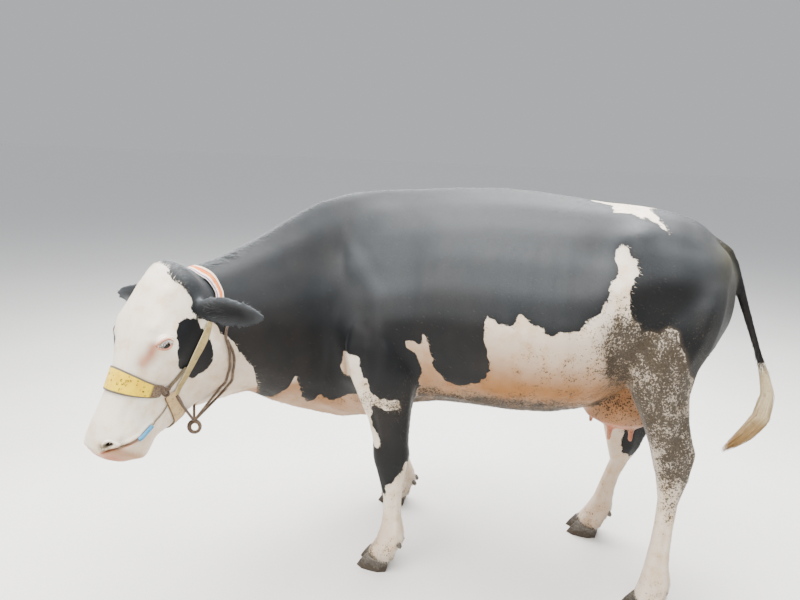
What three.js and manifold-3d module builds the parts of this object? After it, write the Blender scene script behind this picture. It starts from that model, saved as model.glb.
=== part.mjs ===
// A black-and-white dairy cow at life size. It stands still, with its head lowered and turned
// to its left, and wears a rope and webbing halter.
// Millimetres, +Z up. The cow faces -X, so its left side is -Y. Z is zero under the claws.

import * as THREE from "three";
import { mergeVertices } from "three/addons/utils/BufferGeometryUtils.js";
import Module from "manifold-3d";

const wasm = await Module();
wasm.setup();

// ---------------------------------------------------------------- driving dimensions

const GAP = 0.3; // left between two pieces that meet
const HEAD_YAW = 68; // degrees the face is turned from straight ahead to the cow's left
const HEAD_PITCH = 52; // degrees the face points below level
const HEAD_ROLL = 2; // degrees the left side of the head is tipped up
const POLL = [-1032, -608, 1152]; // the top of the neck joint, where the head's own frame begins
const HEAD_LENGTH = 535; // poll to the front of the nose
const EYE_RADIUS = 21;
const EYE_PLACE = [190, 105, -37]; // along the face, out to the side, up from the face line
const EAR_LENGTH = 228;
const EAR_WIDTH = 94;
const CLAW_HEIGHT = 62; // sole to the coronet at the toe
const HEEL_HEIGHT = 40; // sole to the coronet at the heel
const SWITCH_START = 872; // height where the tail's long hair begins
const TEAT_LENGTH = 55;
const STRAP_THICKNESS = 3;
const STRAP_CLEARANCE = 1.6;
const CROWN_CLEARANCE = 4; // the strap behind the ears rides on the hair of the poll
const ROPE_DIAMETER = 9;
const CORD_DIAMETER = 5;
const SLEEVE_DIAMETER = 13;
const RING_RADIUS = 19;

const NEARBY = 0.02; // share of a path's length between the points that give its direction

// Levels, as shares of the way from the top of a cross-section to its bottom, at which the
// tables below state its half-width.
const LEVELS = [0.05, 0.22, 0.5, 0.78, 0.95];

// ---------------------------------------------------------------- sections and lofts

// Reads a table between its rows with a monotone cubic over the first column.
function readTable(rows) {
  const sorted = [...rows].sort((a, b) => a[0] - b[0]);
  const last = sorted.length - 1;
  const slope = (i, k) => (sorted[i + 1][k] - sorted[i][k]) / (sorted[i + 1][0] - sorted[i][0]);
  const tangent = (i, k) => {
    if (i === 0) return slope(0, k);
    if (i === last) return slope(last - 1, k);
    const before = slope(i - 1, k);
    const after = slope(i, k);
    return before * after <= 0 ? 0 : (2 * before * after) / (before + after);
  };
  return (t) => {
    let i = 0;
    while (i < last - 1 && t > sorted[i + 1][0]) i += 1;
    const span = sorted[i + 1][0] - sorted[i][0];
    const s = THREE.MathUtils.clamp((t - sorted[i][0]) / span, 0, 1);
    return sorted[i].map((from, k) => {
      if (k === 0) return t;
      const to = sorted[i + 1][k];
      const bend = s * s * (3 - 2 * s);
      const leave = s * (1 - s) * (1 - s) * span * tangent(i, k);
      const arrive = s * s * (s - 1) * span * tangent(i + 1, k);
      return from + (to - from) * bend + leave + arrive;
    });
  };
}

// A closed ring, the same on both sides, through its top, its half-widths and its bottom.
function outline(top, bottom, halfWidths, sides) {
  const side = halfWidths.map((w, i) => [w, THREE.MathUtils.lerp(top, bottom, LEVELS[i])]);
  const mirrored = [...side].reverse().map(([w, h]) => [-w, h]);
  const loop = [[0, top], ...side, [0, bottom], ...mirrored];
  const points = loop.map(([w, h]) => new THREE.Vector3(w, h, 0));
  const curve = new THREE.CatmullRomCurve3(points, true, "centripetal");
  return curve.getSpacedPoints(sides).slice(0, sides);
}

// Even steps from one end of a table to the other, closer together near both ends.
function steps(from, to, count, ease = 0.35) {
  return Array.from({ length: count }, (_, i) => {
    const s = i / (count - 1);
    const eased = s - (ease * Math.sin(2 * Math.PI * s)) / (2 * Math.PI);
    return THREE.MathUtils.lerp(from, to, eased);
  });
}

// A closed geometry through rings of points, with a point at each end.
function loft(rings) {
  const sides = rings[0].length;
  const middle = (ring) =>
    ring.reduce((sum, p) => sum.add(p), new THREE.Vector3()).divideScalar(ring.length);
  const points = [...rings.flat(), middle(rings[0]), middle(rings.at(-1))];
  const first = points.length - 2;
  const index = [];
  for (let r = 0; r < rings.length - 1; r += 1) {
    for (let s = 0; s < sides; s += 1) {
      const a = r * sides + s;
      const b = r * sides + ((s + 1) % sides);
      index.push(a, b, a + sides, b, b + sides, a + sides);
    }
  }
  const end = (rings.length - 1) * sides;
  for (let s = 0; s < sides; s += 1) {
    const next = (s + 1) % sides;
    index.push(first, next, s);
    index.push(first + 1, end + s, end + next);
  }
  const geometry = new THREE.BufferGeometry().setFromPoints(points);
  geometry.setIndex(index);
  return facingOut(geometry);
}

function signedVolume(geometry) {
  const p = geometry.getAttribute("position");
  const [a, b, c] = [new THREE.Vector3(), new THREE.Vector3(), new THREE.Vector3()];
  let sum = 0;
  for (let i = 0; i < geometry.index.count; i += 3) {
    a.fromBufferAttribute(p, geometry.index.getX(i));
    b.fromBufferAttribute(p, geometry.index.getX(i + 1));
    c.fromBufferAttribute(p, geometry.index.getX(i + 2));
    sum += a.dot(b.cross(c)) / 6;
  }
  return sum;
}

function facingOut(geometry) {
  if (signedVolume(geometry) > 0) return geometry;
  const turned = geometry.index.clone();
  for (let i = 0; i < turned.count; i += 3) {
    turned.setX(i, geometry.index.getX(i + 1));
    turned.setX(i + 1, geometry.index.getX(i));
  }
  geometry.setIndex(turned);
  return geometry;
}

// ---------------------------------------------------------------- joining and cutting

// Only the positions, with shared vertices merged.
function welded(geometry) {
  const bare = geometry.clone();
  bare.deleteAttribute("normal");
  bare.deleteAttribute("uv");
  return mergeVertices(bare, 1e-3);
}

function solid(geometry) {
  const merged = welded(geometry);
  const mesh = new wasm.Mesh({
    numProp: 3,
    vertProperties: new Float32Array(merged.getAttribute("position").array),
    triVerts: new Uint32Array(merged.index.array),
  });
  return new wasm.Manifold(mesh);
}

// The same shape with every face moved out, to cut the socket that it sits in.
function grown(geometry, by = GAP) {
  const merged = welded(geometry);
  merged.computeVertexNormals();
  const p = merged.getAttribute("position");
  const n = merged.getAttribute("normal");
  for (let i = 0; i < p.count; i += 1) {
    p.setXYZ(i, p.getX(i) + by * n.getX(i), p.getY(i) + by * n.getY(i), p.getZ(i) + by * n.getZ(i));
  }
  return solid(merged);
}

function join(solids) {
  return solids.reduce((sum, next) => sum.add(next));
}

function cutAway(from, tools) {
  return tools.reduce((rest, tool) => rest.subtract(tool), from);
}

// The part of a solid on the side of a plane that its normal points to, half a gap away from it.
function beyond(piece, point, normal) {
  const n = new THREE.Vector3(...normal).normalize();
  const offset = n.dot(new THREE.Vector3(...point)) + GAP / 2;
  return piece.trimByPlane(n.toArray(), offset);
}

function behind(piece, point, normal) {
  return beyond(piece, point, normal.map((c) => -c));
}

// Only the largest body, without slivers that a cut has parted from it.
function largest(piece) {
  return piece.decompose().reduce((most, next) => (next.volume() > most.volume() ? next : most));
}

function geometryOf(piece) {
  const mesh = largest(piece).getMesh();
  const geometry = new THREE.BufferGeometry();
  geometry.setAttribute("position", new THREE.BufferAttribute(new Float32Array(mesh.vertProperties), 3));
  geometry.setIndex(new THREE.BufferAttribute(new Uint32Array(mesh.triVerts), 1));
  geometry.computeVertexNormals();
  return geometry;
}

// ---------------------------------------------------------------- trunk

// x, height of the back, height of the underside, half-widths
const TRUNK = [
  [-705, 1350, 540, 40, 85, 135, 120, 60],
  [-660, 1379, 506, 46, 108, 180, 165, 80],
  [-590, 1394, 498, 48, 132, 226, 205, 100],
  [-500, 1402, 522, 46, 146, 252, 222, 118],
  [-400, 1407, 584, 50, 165, 268, 232, 132],
  [-300, 1413, 616, 62, 192, 287, 250, 142],
  [-180, 1421, 627, 78, 220, 315, 282, 155],
  [-50, 1420, 626, 92, 238, 340, 308, 165],
  [80, 1410, 632, 102, 246, 350, 312, 165],
  [200, 1393, 652, 118, 246, 332, 290, 150],
  [300, 1386, 692, 142, 258, 300, 252, 132],
  [365, 1382, 742, 158, 270, 276, 226, 120],
  [460, 1368, 790, 128, 246, 258, 208, 110],
  [540, 1344, 830, 92, 202, 232, 190, 100],
  [600, 1302, 872, 74, 162, 192, 160, 90],
  [645, 1246, 930, 54, 112, 134, 118, 68],
  [672, 1190, 1000, 30, 56, 70, 60, 34],
];
const TRUNK_SIDES = 20;
const TRUNK_RINGS = 15;

function trunkGeometry() {
  const at = readTable(TRUNK);
  const rings = steps(TRUNK[0][0], TRUNK.at(-1)[0], TRUNK_RINGS).map((x) => {
    const [, top, bottom, ...widths] = at(x);
    return outline(top, bottom, widths, TRUNK_SIDES).map((p) => new THREE.Vector3(x, p.x, p.y));
  });
  return loft(rings);
}

// ---------------------------------------------------------------- neck

// share of the way to the head, x, y, height of the crest, height of the throat, half-widths
const NECK = [
  [0, -480, 0, 1396, 538, 40, 130, 220, 200, 100],
  [0.22, -655, -18, 1384, 482, 38, 112, 188, 172, 84],
  [0.42, -775, -110, 1334, 532, 34, 92, 152, 138, 62],
  [0.6, -850, -238, 1266, 606, 32, 80, 126, 112, 46],
  [0.75, -908, -358, 1216, 694, 32, 76, 114, 98, 40],
  [0.88, -958, -458, 1182, 704, 34, 76, 108, 92, 38],
  [1, -1004, -548, 1162, 706, 34, 72, 98, 82, 36],
];
const NECK_SIDES = 16;
const NECK_RINGS = 9;

function neckGeometry() {
  const at = readTable(NECK);
  const rings = steps(0, 1, NECK_RINGS, 0).map((t) => {
    const [, x, y, top, bottom, ...widths] = at(t);
    const before = at(Math.max(t - NEARBY, 0));
    const after = at(Math.min(t + NEARBY, 1));
    const across = new THREE.Vector3(before[2] - after[2], after[1] - before[1], 0).normalize();
    return outline(top, bottom, widths, NECK_SIDES).map((p) =>
      new THREE.Vector3(x, y, p.y).addScaledVector(across, p.x),
    );
  });
  return loft(rings);
}

// ---------------------------------------------------------------- head

// The head's own frame: along the face from the poll to the nose, to its left, and up from it.
const yaw = THREE.MathUtils.degToRad(HEAD_YAW);
const pitch = THREE.MathUtils.degToRad(HEAD_PITCH);
const roll = THREE.MathUtils.degToRad(HEAD_ROLL);
const ahead = new THREE.Vector3(-Math.cos(yaw), -Math.sin(yaw), 0);
const upright = new THREE.Vector3(0, 0, 1);
const level = new THREE.Vector3().crossVectors(upright, ahead);
const FACE = ahead.clone().multiplyScalar(Math.cos(pitch)).addScaledVector(upright, -Math.sin(pitch));
const lift = ahead.clone().multiplyScalar(Math.sin(pitch)).addScaledVector(upright, Math.cos(pitch));
const LEFT = level.clone().multiplyScalar(Math.cos(roll)).addScaledVector(lift, Math.sin(roll));
const DORSAL = level.clone().multiplyScalar(-Math.sin(roll)).addScaledVector(lift, Math.cos(roll));

function inHead(along, left, up) {
  return new THREE.Vector3(...POLL)
    .addScaledVector(FACE, along)
    .addScaledVector(LEFT, left)
    .addScaledVector(DORSAL, up);
}

// along the face, top line, bottom line, half-widths
const HEAD = [
  [-38, 12, -92, 26, 52, 64, 52, 26],
  [-12, 36, -150, 42, 76, 84, 70, 34],
  [40, 42, -252, 56, 92, 97, 82, 44],
  [95, 36, -326, 70, 105, 101, 82, 46],
  [150, 28, -344, 84, 115, 101, 80, 50],
  [195, 17, -341, 92, 121, 97, 78, 52],
  [235, 4, -325, 78, 108, 91, 77, 53],
  [285, -10, -306, 54, 85, 82, 73, 51],
  [340, -22, -279, 42, 68, 72, 66, 47],
  [395, -33, -251, 36, 62, 68, 61, 44],
  [445, -42, -218, 38, 67, 75, 67, 46],
  [485, -51, -213, 40, 71, 80, 71, 48],
  [515, -67, -211, 34, 62, 75, 71, 49],
  [HEAD_LENGTH, -104, -170, 15, 32, 43, 42, 24],
];
const HEAD_SIDES = 20;
const HEAD_RINGS = 19;
const MUZZLE_START = 380; // from here on the sections lean, so the nose leads the chin
const MUZZLE_LEAN = 0.2;
const readHead = readTable(HEAD);

function headGeometry() {
  const rings = steps(HEAD[0][0], HEAD_LENGTH, HEAD_RINGS).map((along) => {
    const [, top, bottom, ...widths] = readHead(along);
    const share = THREE.MathUtils.smoothstep(along, MUZZLE_START, HEAD_LENGTH);
    return outline(top, bottom, widths, HEAD_SIDES).map((p) =>
      inHead(along - share * MUZZLE_LEAN * (top - p.y), p.x, p.y),
    );
  });
  return loft(rings);
}

function eyeGeometry(side) {
  const [along, out, up] = EYE_PLACE;
  const at = inHead(along, side * out, up);
  return new THREE.IcosahedronGeometry(EYE_RADIUS, 1).translate(at.x, at.y, at.z);
}

// ---------------------------------------------------------------- ears

// share of the length, share of the widest, thickness, depth of the cup
const EAR = [
  [0, 0.5, 34, 0],
  [0.14, 0.6, 28, 3],
  [0.3, 0.94, 20, 12],
  [0.48, 1, 15, 16],
  [0.68, 0.84, 12, 13],
  [0.86, 0.54, 10, 7],
  [1, 0.14, 6, 0],
];
const EAR_ROOT = [54, 84, -88];
const EAR_SAG = 12; // how far the tip hangs below a straight ear
// how far each ear hangs below square, points back, and is turned about its own length
const EAR_LEFT_SET = [0.25, 0.22, 0];
const EAR_RIGHT_SET = [-0.07, -0.01, 0.9];
const EAR_SIDES = 10;
const EAR_RINGS = 8;

// An ear is a cupped leaf that stands out to the side, its hollow turned forward.
function earGeometry(side, [droop, back, twist]) {
  const at = readTable(EAR);
  const root = inHead(EAR_ROOT[0], side * EAR_ROOT[1], EAR_ROOT[2]);
  const out = LEFT.clone().multiplyScalar(side).addScaledVector(FACE, -back);
  out.addScaledVector(DORSAL, -droop).normalize();
  const blade = upright.clone().addScaledVector(out, -upright.dot(out)).normalize();
  blade.applyAxisAngle(out, twist);
  const hollow = new THREE.Vector3().crossVectors(out, blade).normalize();
  if (hollow.dot(ahead) < 0) hollow.negate();
  const rings = steps(0, 1, EAR_RINGS).map((t) => {
    const [, wide, thick, cup] = at(t);
    const half = (wide * EAR_WIDTH) / 2;
    const centre = root.clone().addScaledVector(out, t * EAR_LENGTH);
    centre.addScaledVector(upright, -EAR_SAG * t * t);
    return Array.from({ length: EAR_SIDES }, (_, i) => {
      const turn = (2 * Math.PI * i) / EAR_SIDES;
      const b = Math.cos(turn);
      const bulge = (thick / 2) * Math.sin(turn) - cup * (1 - b * b) + cup / 2;
      return centre.clone().addScaledVector(blade, b * half).addScaledVector(hollow, bulge);
    });
  });
  return loft(rings);
}

// ---------------------------------------------------------------- legs

// height, front, back, how far out the middle is, half-widths from front to back
const FORE_LEG = [
  [1010, -560, -420, 165, 30, 46, 56, 46, 30],
  [930, -588, -384, 190, 44, 66, 76, 64, 40],
  [850, -600, -352, 208, 50, 76, 86, 74, 44],
  [770, -592, -328, 216, 46, 72, 82, 72, 42],
  [700, -566, -338, 216, 42, 64, 72, 64, 38],
  [640, -534, -348, 214, 38, 57, 63, 56, 34],
  [560, -500, -353, 212, 34, 50, 54, 48, 30],
  [480, -487, -356, 210, 34, 49, 52, 46, 30],
  [420, -479, -357, 210, 36, 50, 53, 47, 32],
  [370, -464, -364, 210, 32, 45, 48, 43, 28],
  [320, -448, -372, 211, 24, 35, 37, 33, 22],
  [250, -443, -373, 213, 21, 31, 33, 30, 20],
  [190, -446, -368, 215, 22, 33, 36, 34, 24],
  [140, -455, -358, 217, 28, 42, 46, 44, 32],
  [110, -462, -358, 218, 30, 44, 49, 47, 34],
  [80, -480, -376, 219, 32, 46, 50, 48, 34],
  [55, -494, -388, 220, 34, 48, 53, 50, 36],
  [25, -500, -392, 220, 34, 48, 53, 50, 36],
];
const HIND_LEG = [
  [1215, 440, 585, 130, 26, 44, 54, 44, 26],
  [1150, 390, 616, 150, 46, 76, 92, 78, 44],
  [1060, 350, 610, 166, 58, 92, 108, 92, 48],
  [970, 334, 592, 174, 62, 96, 110, 92, 46],
  [890, 338, 560, 180, 62, 92, 102, 84, 42],
  [820, 356, 549, 186, 58, 84, 90, 74, 38],
  [760, 386, 557, 192, 50, 70, 76, 64, 34],
  [700, 408, 566, 197, 42, 58, 62, 52, 27],
  [650, 428, 579, 200, 38, 53, 55, 42, 22],
  [610, 446, 590, 202, 38, 54, 54, 40, 24],
  [575, 458, 595, 203, 38, 54, 54, 40, 24],
  [530, 472, 583, 204, 34, 47, 48, 38, 24],
  [470, 488, 568, 205, 24, 36, 38, 33, 22],
  [400, 495, 558, 207, 20, 30, 32, 29, 20],
  [300, 492, 558, 210, 20, 31, 33, 31, 21],
  [210, 485, 562, 212, 22, 34, 37, 35, 25],
  [150, 474, 566, 214, 28, 42, 46, 44, 32],
  [115, 462, 560, 215, 30, 44, 49, 47, 34],
  [85, 446, 548, 215, 32, 46, 50, 48, 34],
  [58, 434, 538, 215, 34, 48, 53, 50, 36],
  [25, 430, 534, 215, 34, 48, 53, 50, 36],
];
const LEG_SIDES = 9;
const LEG_RINGS = 17;

// How far each leg's rows are moved along the body: the right fore leg stands a little ahead, the
// left hind pastern is steep, and the right hind leg has stepped well forward, which also lowers its
// hock.
const AHEAD_FORE_RIGHT = [
  [0, -30],
  [100, -38],
  [200, -56],
  [320, -74],
  [480, -80],
  [640, -76],
  [760, -60],
  [900, -30],
  [1100, 0],
  [1300, 0],
];
const AHEAD_HIND_LEFT = [
  [0, 30],
  [58, 28],
  [85, 24],
  [115, 16],
  [150, 6],
  [210, 0],
  [1300, 0],
];
const AHEAD_HIND_RIGHT = [[0, -140], [120, -136], [300, -120], [480, -84], [620, -56], [820, -18], [1300, 0]];
const LOWER_HIND_RIGHT = [
  [0, 0],
  [150, -18],
  [320, -52],
  [470, -92],
  [610, -104],
  [760, -72],
  [960, -20],
  [1300, 0],
];
const STILL = [[0, 0], [1300, 0]];
// How much farther forward the front of the right hind leg reaches, as its stifle is bent.
const FULLER_HIND_RIGHT = [
  [0, 0],
  [400, 0],
  [480, 14],
  [540, 30],
  [620, 40],
  [780, 38],
  [900, 0],
  [1300, 0],
];

function legGeometry(rows, side, aheadRows, lowerRows, fullerRows) {
  const at = readTable(rows);
  const fuller = readTable(fullerRows);
  const moved = readTable(aheadRows);
  const lowered = readTable(lowerRows);
  const rings = steps(rows[0][0], rows.at(-1)[0], LEG_RINGS, 0.3).map((z) => {
    const [, front, back, out, ...widths] = at(z);
    const shift = moved(z)[1];
    const height = z + lowered(z)[1];
    return outline(front - fuller(z)[1], back, widths, LEG_SIDES).map(
      (p) => new THREE.Vector3(p.y + shift, side * out + p.x, height),
    );
  });
  return loft(rings);
}

// ---------------------------------------------------------------- claws and dewclaws

// share of the height, toe, heel, half-widths, all measured from the foot's own toe and middle;
// the rows run on above the coronet, where each claw is cut
const CLAW = [
  [0, 0, 126, 10, 19, 24, 24, 14],
  [0.4, 14, 130, 11, 20, 25, 25, 15],
  [1.25, 52, 132, 12, 20, 25, 24, 14],
];
const CLAW_SIDES = 9;
const CLAW_SPREAD = 27;
const CORONET_BACK = 30; // how far behind the toe CLAW_HEIGHT is measured
const CORONET_RUN = 100; // from there to where HEEL_HEIGHT is measured
const DEWCLAW_SIZE = [12, 11, 17];
const DEWCLAW_SPREAD = 24;
const DEWCLAW_HEIGHT = 112;
const DEWCLAW_LEAN = -0.5;
const DEWCLAW_TUCK = 9; // how far in front of the heel the dewclaws sit

function clawGeometry(toe, middle, side) {
  const rings = CLAW.map(([share, front, back, ...widths]) => {
    return outline(front, back, widths, CLAW_SIDES).map(
      (p) => new THREE.Vector3(toe + p.y, middle + side * CLAW_SPREAD + p.x, share * CLAW_HEIGHT),
    );
  });
  return loft(rings);
}

function dewclawGeometry(foot, side) {
  const lump = new THREE.IcosahedronGeometry(1, 0);
  lump.scale(...DEWCLAW_SIZE);
  lump.rotateY(DEWCLAW_LEAN);
  return lump.translate(foot.heel - DEWCLAW_TUCK, foot.y + side * DEWCLAW_SPREAD, DEWCLAW_HEIGHT);
}

// ---------------------------------------------------------------- udder

// height, front, back, half-widths from front to back
const UDDER = [
  [860, 300, 540, 40, 76, 92, 84, 50],
  [780, 250, 536, 62, 112, 132, 118, 66],
  [700, 230, 520, 70, 122, 142, 124, 66],
  [650, 236, 500, 66, 114, 132, 114, 60],
  [618, 262, 480, 54, 92, 106, 92, 48],
  [600, 310, 450, 30, 52, 60, 52, 28],
];
const UDDER_SIDES = 12;
const UDDER_RINGS = 7;
const TEAT_TIP = 556; // height of the teats' ends
const TEAT_SPLAY = 0.12;
const TEAT_SIDES = 6;
// along the body and across it: the front pair, then the rear pair
const TEATS = [
  [338, -68],
  [288, 74],
  [412, -58],
  [404, 58],
];
// radius and height above the tip
const TEAT_PROFILE = [
  [0, 0],
  [8, 2],
  [11, 12],
  [12.5, 34],
  [15, TEAT_LENGTH],
  [17, TEAT_LENGTH + 22],
  [0, TEAT_LENGTH + 24],
];

function udderGeometry() {
  const at = readTable(UDDER);
  const rings = steps(UDDER[0][0], UDDER.at(-1)[0], UDDER_RINGS, 0).map((z) => {
    const [, front, back, ...widths] = at(z);
    return outline(front, back, widths, UDDER_SIDES).map((p) => new THREE.Vector3(p.y, p.x, z));
  });
  return loft(rings);
}

function teatGeometry(x, y) {
  const profile = TEAT_PROFILE.map(([radius, height]) => new THREE.Vector2(radius, height));
  const teat = new THREE.LatheGeometry(profile, TEAT_SIDES);
  teat.rotateX(Math.PI / 2 + Math.sign(y) * TEAT_SPLAY);
  return facingOut(welded(teat.translate(x, y, TEAT_TIP)));
}

// ---------------------------------------------------------------- tail

// share of the length, x, y, z, half-width across, half-depth
const TAIL = [
  [0, 556, 0, 1284, 32, 26],
  [0.08, 618, -2, 1262, 30, 26],
  [0.16, 656, -8, 1212, 24, 23],
  [0.28, 694, -16, 1122, 18, 18],
  [0.42, 734, -28, 1022, 15, 15],
  [0.56, 774, -36, 924, 13, 13],
  [0.64, 798, -38, 868, 14, 14],
  [0.74, 824, -38, 790, 22, 20],
  [0.84, 822, -34, 700, 32, 28],
  [0.92, 782, -30, 626, 28, 24],
  [1, 718, -26, 550, 7, 7],
];
const TAIL_RINGS = 16;
const TAIL_SIDES = 7;

function tailGeometry() {
  const at = readTable(TAIL);
  const rings = steps(0, 1, TAIL_RINGS, 0.2).map((t) => {
    const [, x, y, z, across, deep] = at(t);
    const before = at(Math.max(t - NEARBY, 0));
    const after = at(Math.min(t + NEARBY, 1));
    const along = new THREE.Vector3(after[1] - before[1], after[2] - before[2], after[3] - before[3]);
    const back = new THREE.Vector3().crossVectors(along.normalize(), new THREE.Vector3(0, 1, 0));
    const side = new THREE.Vector3().crossVectors(back.normalize(), along);
    return Array.from({ length: TAIL_SIDES }, (_, i) => {
      const turn = (2 * Math.PI * i) / TAIL_SIDES;
      return new THREE.Vector3(x, y, z)
        .addScaledVector(side, across * Math.cos(turn))
        .addScaledVector(back, deep * Math.sin(turn));
    });
  });
  return loft(rings);
}

// ---------------------------------------------------------------- halter

// A place on the body in the head's frame: a distance along the face, and degrees around a line
// that runs HEAD_CORE below it, from 0 at the top through 90 on the left to 180 underneath.
const HEAD_CORE = 120;
const REACH = 260; // how far outside the body the search for its surface starts
const LIFT_OFF = 75; // the same, for the edges of a strap
const caster = new THREE.Raycaster();

function surfaceHit(from, direction) {
  caster.set(from, direction);
  return caster.intersectObject(bodySurface)[0].point;
}

function outward(along, degrees) {
  const turn = THREE.MathUtils.degToRad(degrees);
  const axis = inHead(along, 0, -HEAD_CORE);
  return inHead(along, Math.sin(turn), Math.cos(turn) - HEAD_CORE).sub(axis);
}

function onBody(along, degrees) {
  const out = outward(along, degrees);
  const start = inHead(along, 0, -HEAD_CORE).addScaledVector(out, REACH);
  return surfaceHit(start, out.clone().negate());
}

// The stations of a path that lies on the body: its middle, its two edges and the way out there.
// Each row of the path is along the face, degrees around it and, for a strap, the width.
function drape(path, count, thinnest) {
  const at = readTable(path.map((row, i) => [i, ...row]));
  const last = path.length - 1;
  return Array.from({ length: count }, (_, i) => {
    const t = (i * last) / (count - 1);
    const [, along, degrees, width = thinnest] = at(t);
    const before = at(Math.max(t - 0.1, 0));
    const after = at(Math.min(t + 0.1, last));
    const run = onBody(after[1], after[2]).sub(onBody(before[1], before[2])).normalize();
    const radial = outward(along, degrees);
    const middle = onBody(along, degrees);
    const across = new THREE.Vector3().crossVectors(run, radial).normalize();
    const [near, far] = [width / 2, -width / 2].map((w) => {
      const start = middle.clone().addScaledVector(across, w).addScaledVector(radial, LIFT_OFF);
      return surfaceHit(start, radial.clone().negate());
    });
    const out = new THREE.Vector3().crossVectors(near.clone().sub(far), run).normalize();
    if (out.dot(radial) < 0) out.negate();
    return { middle, near, far, out };
  });
}

function strapGeometry(path, count, clearance = STRAP_CLEARANCE) {
  const rings = drape(path, count).map(({ middle, near, far, out }) => {
    const inner = [near, middle, far].map((p) => p.clone().addScaledVector(out, clearance));
    const outer = inner.map((p) => p.clone().addScaledVector(out, STRAP_THICKNESS));
    return [...inner, ...outer.reverse()];
  });
  return loft(rings);
}

// The points of a rope that lies on the body along a path.
function ropeOnBody(path, count, diameter) {
  const rise = diameter / 2 + STRAP_CLEARANCE;
  return drape(path, count, diameter).map(({ middle, out }) => middle.addScaledVector(out, rise));
}

function ropeGeometry(points, diameter, stepCount) {
  const curve = new THREE.CatmullRomCurve3(points, false, "centripetal");
  return facingOut(tubeThrough(curve.getSpacedPoints(stepCount), diameter));
}

// A round rope through points, with its ends closed.
function tubeThrough(points, diameter) {
  const rings = points.map((p, i) => {
    const before = points[Math.max(i - 1, 0)];
    const after = points[Math.min(i + 1, points.length - 1)];
    const run = after.clone().sub(before).normalize();
    const side = new THREE.Vector3().crossVectors(run, DORSAL).normalize();
    const up = new THREE.Vector3().crossVectors(side, run);
    return Array.from({ length: ROPE_SIDES }, (_, k) => {
      const turn = (2 * Math.PI * k) / ROPE_SIDES;
      return p
        .clone()
        .addScaledVector(side, (diameter / 2) * Math.cos(turn))
        .addScaledVector(up, (diameter / 2) * Math.sin(turn));
    });
  });
  return loft(rings);
}

// A lump of wound cord, as long as size along the face, out of the body and around it.
function knotGeometry(along, degrees, [long, thick, wide]) {
  const at = onBody(along, degrees);
  const out = outward(along, degrees);
  const around = new THREE.Vector3().crossVectors(out, FACE).normalize();
  const across = new THREE.Vector3().crossVectors(around, out).normalize();
  const knot = new THREE.IcosahedronGeometry(1, 1);
  knot.scale(long / 2, wide / 2, thick / 2);
  knot.applyMatrix4(new THREE.Matrix4().makeBasis(across, around, out));
  const centre = at.addScaledVector(out, thick / 2 + STRAP_CLEARANCE);
  return knot.translate(centre.x, centre.y, centre.z);
}

// Rows with the angles turned over to the other side of the head.
function onSide(path, side) {
  return path.map(([along, degrees, ...rest]) => [along, side * degrees, ...rest]);
}

const ROPE_SIDES = 5;
const RING_SIDES = 10;
const KNOT_PLACE = [302, 103];
const KNOT_SIZE = [30, 22, 36];
const NOSEBAND = [
  [306, -96, 36],
  [318, -72, 44],
  [327, -34, 62],
  [330, 0, 70],
  [327, 34, 62],
  [318, 72, 44],
  [306, 96, 36],
];
const CHIN_STRAP = [
  [304, 118, 40],
  [322, 136, 44],
  [348, 154, 46],
  [372, 168, 46],
  [380, 180, 46],
  [372, 192, 46],
  [348, 206, 46],
  [322, 224, 44],
  [304, 242, 40],
];
const CHEEK_STRAP = [
  [300, 130, 16],
  [249, 121, 20],
  [217, 113, 24],
  [183, 108, 28],
  [156, 107, 31],
  [123, 107, 32],
  [95, 106, 28],
  [69, 105, 24],
];
const LOWER_STRAP = [
  [288, 107, 12],
  [264, 108, 12],
  [238, 106, 12],
  [216, 104, 11],
];
const CROWN_STRAP = [
  [62, 108, 22],
  [24, 111, 24],
  [-16, 111, 27],
  [-38, 100, 28],
  [-55, 74, 34],
  [-58, 36, 36],
];
const CROWN_MIDDLE = [-58, 0, 26];
const CORD_REAR = [
  [330, 126],
  [368, 126],
  [401, 118.6],
];
const CORD_FRONT = [
  [452.5, 99],
  [475, 84],
  [494, 70],
];
const CORD_SLEEVE = [
  [404, 118],
  [428, 109],
  [450, 100],
];
const THROAT_ROPE = [
  [4, 128],
  [40, 130],
  [79, 133],
  [114, 142],
  [141, 147],
  [179, 153],
  [225, 161],
];
const THROAT_ROPE_LOOSE = [
  [88, 136],
  [114, 145],
  [145, 151],
  [183, 157],
  [225, 165],
];
const JAW_ROPE = [
  [300, 128],
  [320, 146],
];
const RING_PLACE = [345, 48, -312];

// ---------------------------------------------------------------- building it

const COLOURS = {
  black_coat: 0x1d2023,
  white_coat: 0xe8e0d4,
  pink_skin: 0xc98a78,
  horn: 0x5d5248,
  eye: 0x14100e,
  switch_hair: 0xa8885e,
  webbing: 0xd8a92a,
  strap: 0x8d7f5a,
  crown: 0xc9713a,
  rope: 0x5f4a3b,
  cord: 0x8b7f6c,
  sleeve: 0x4d9fc4,
};

function material(name) {
  const roughness = name === "eye" ? 0.1 : 0.8;
  return new THREE.MeshStandardMaterial({ color: COLOURS[name], roughness });
}

const cow = new THREE.Group();

function place(name, piece, colour) {
  const mesh = new THREE.Mesh(geometryOf(piece), material(colour));
  mesh.name = name;
  cow.add(mesh);
}

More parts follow.
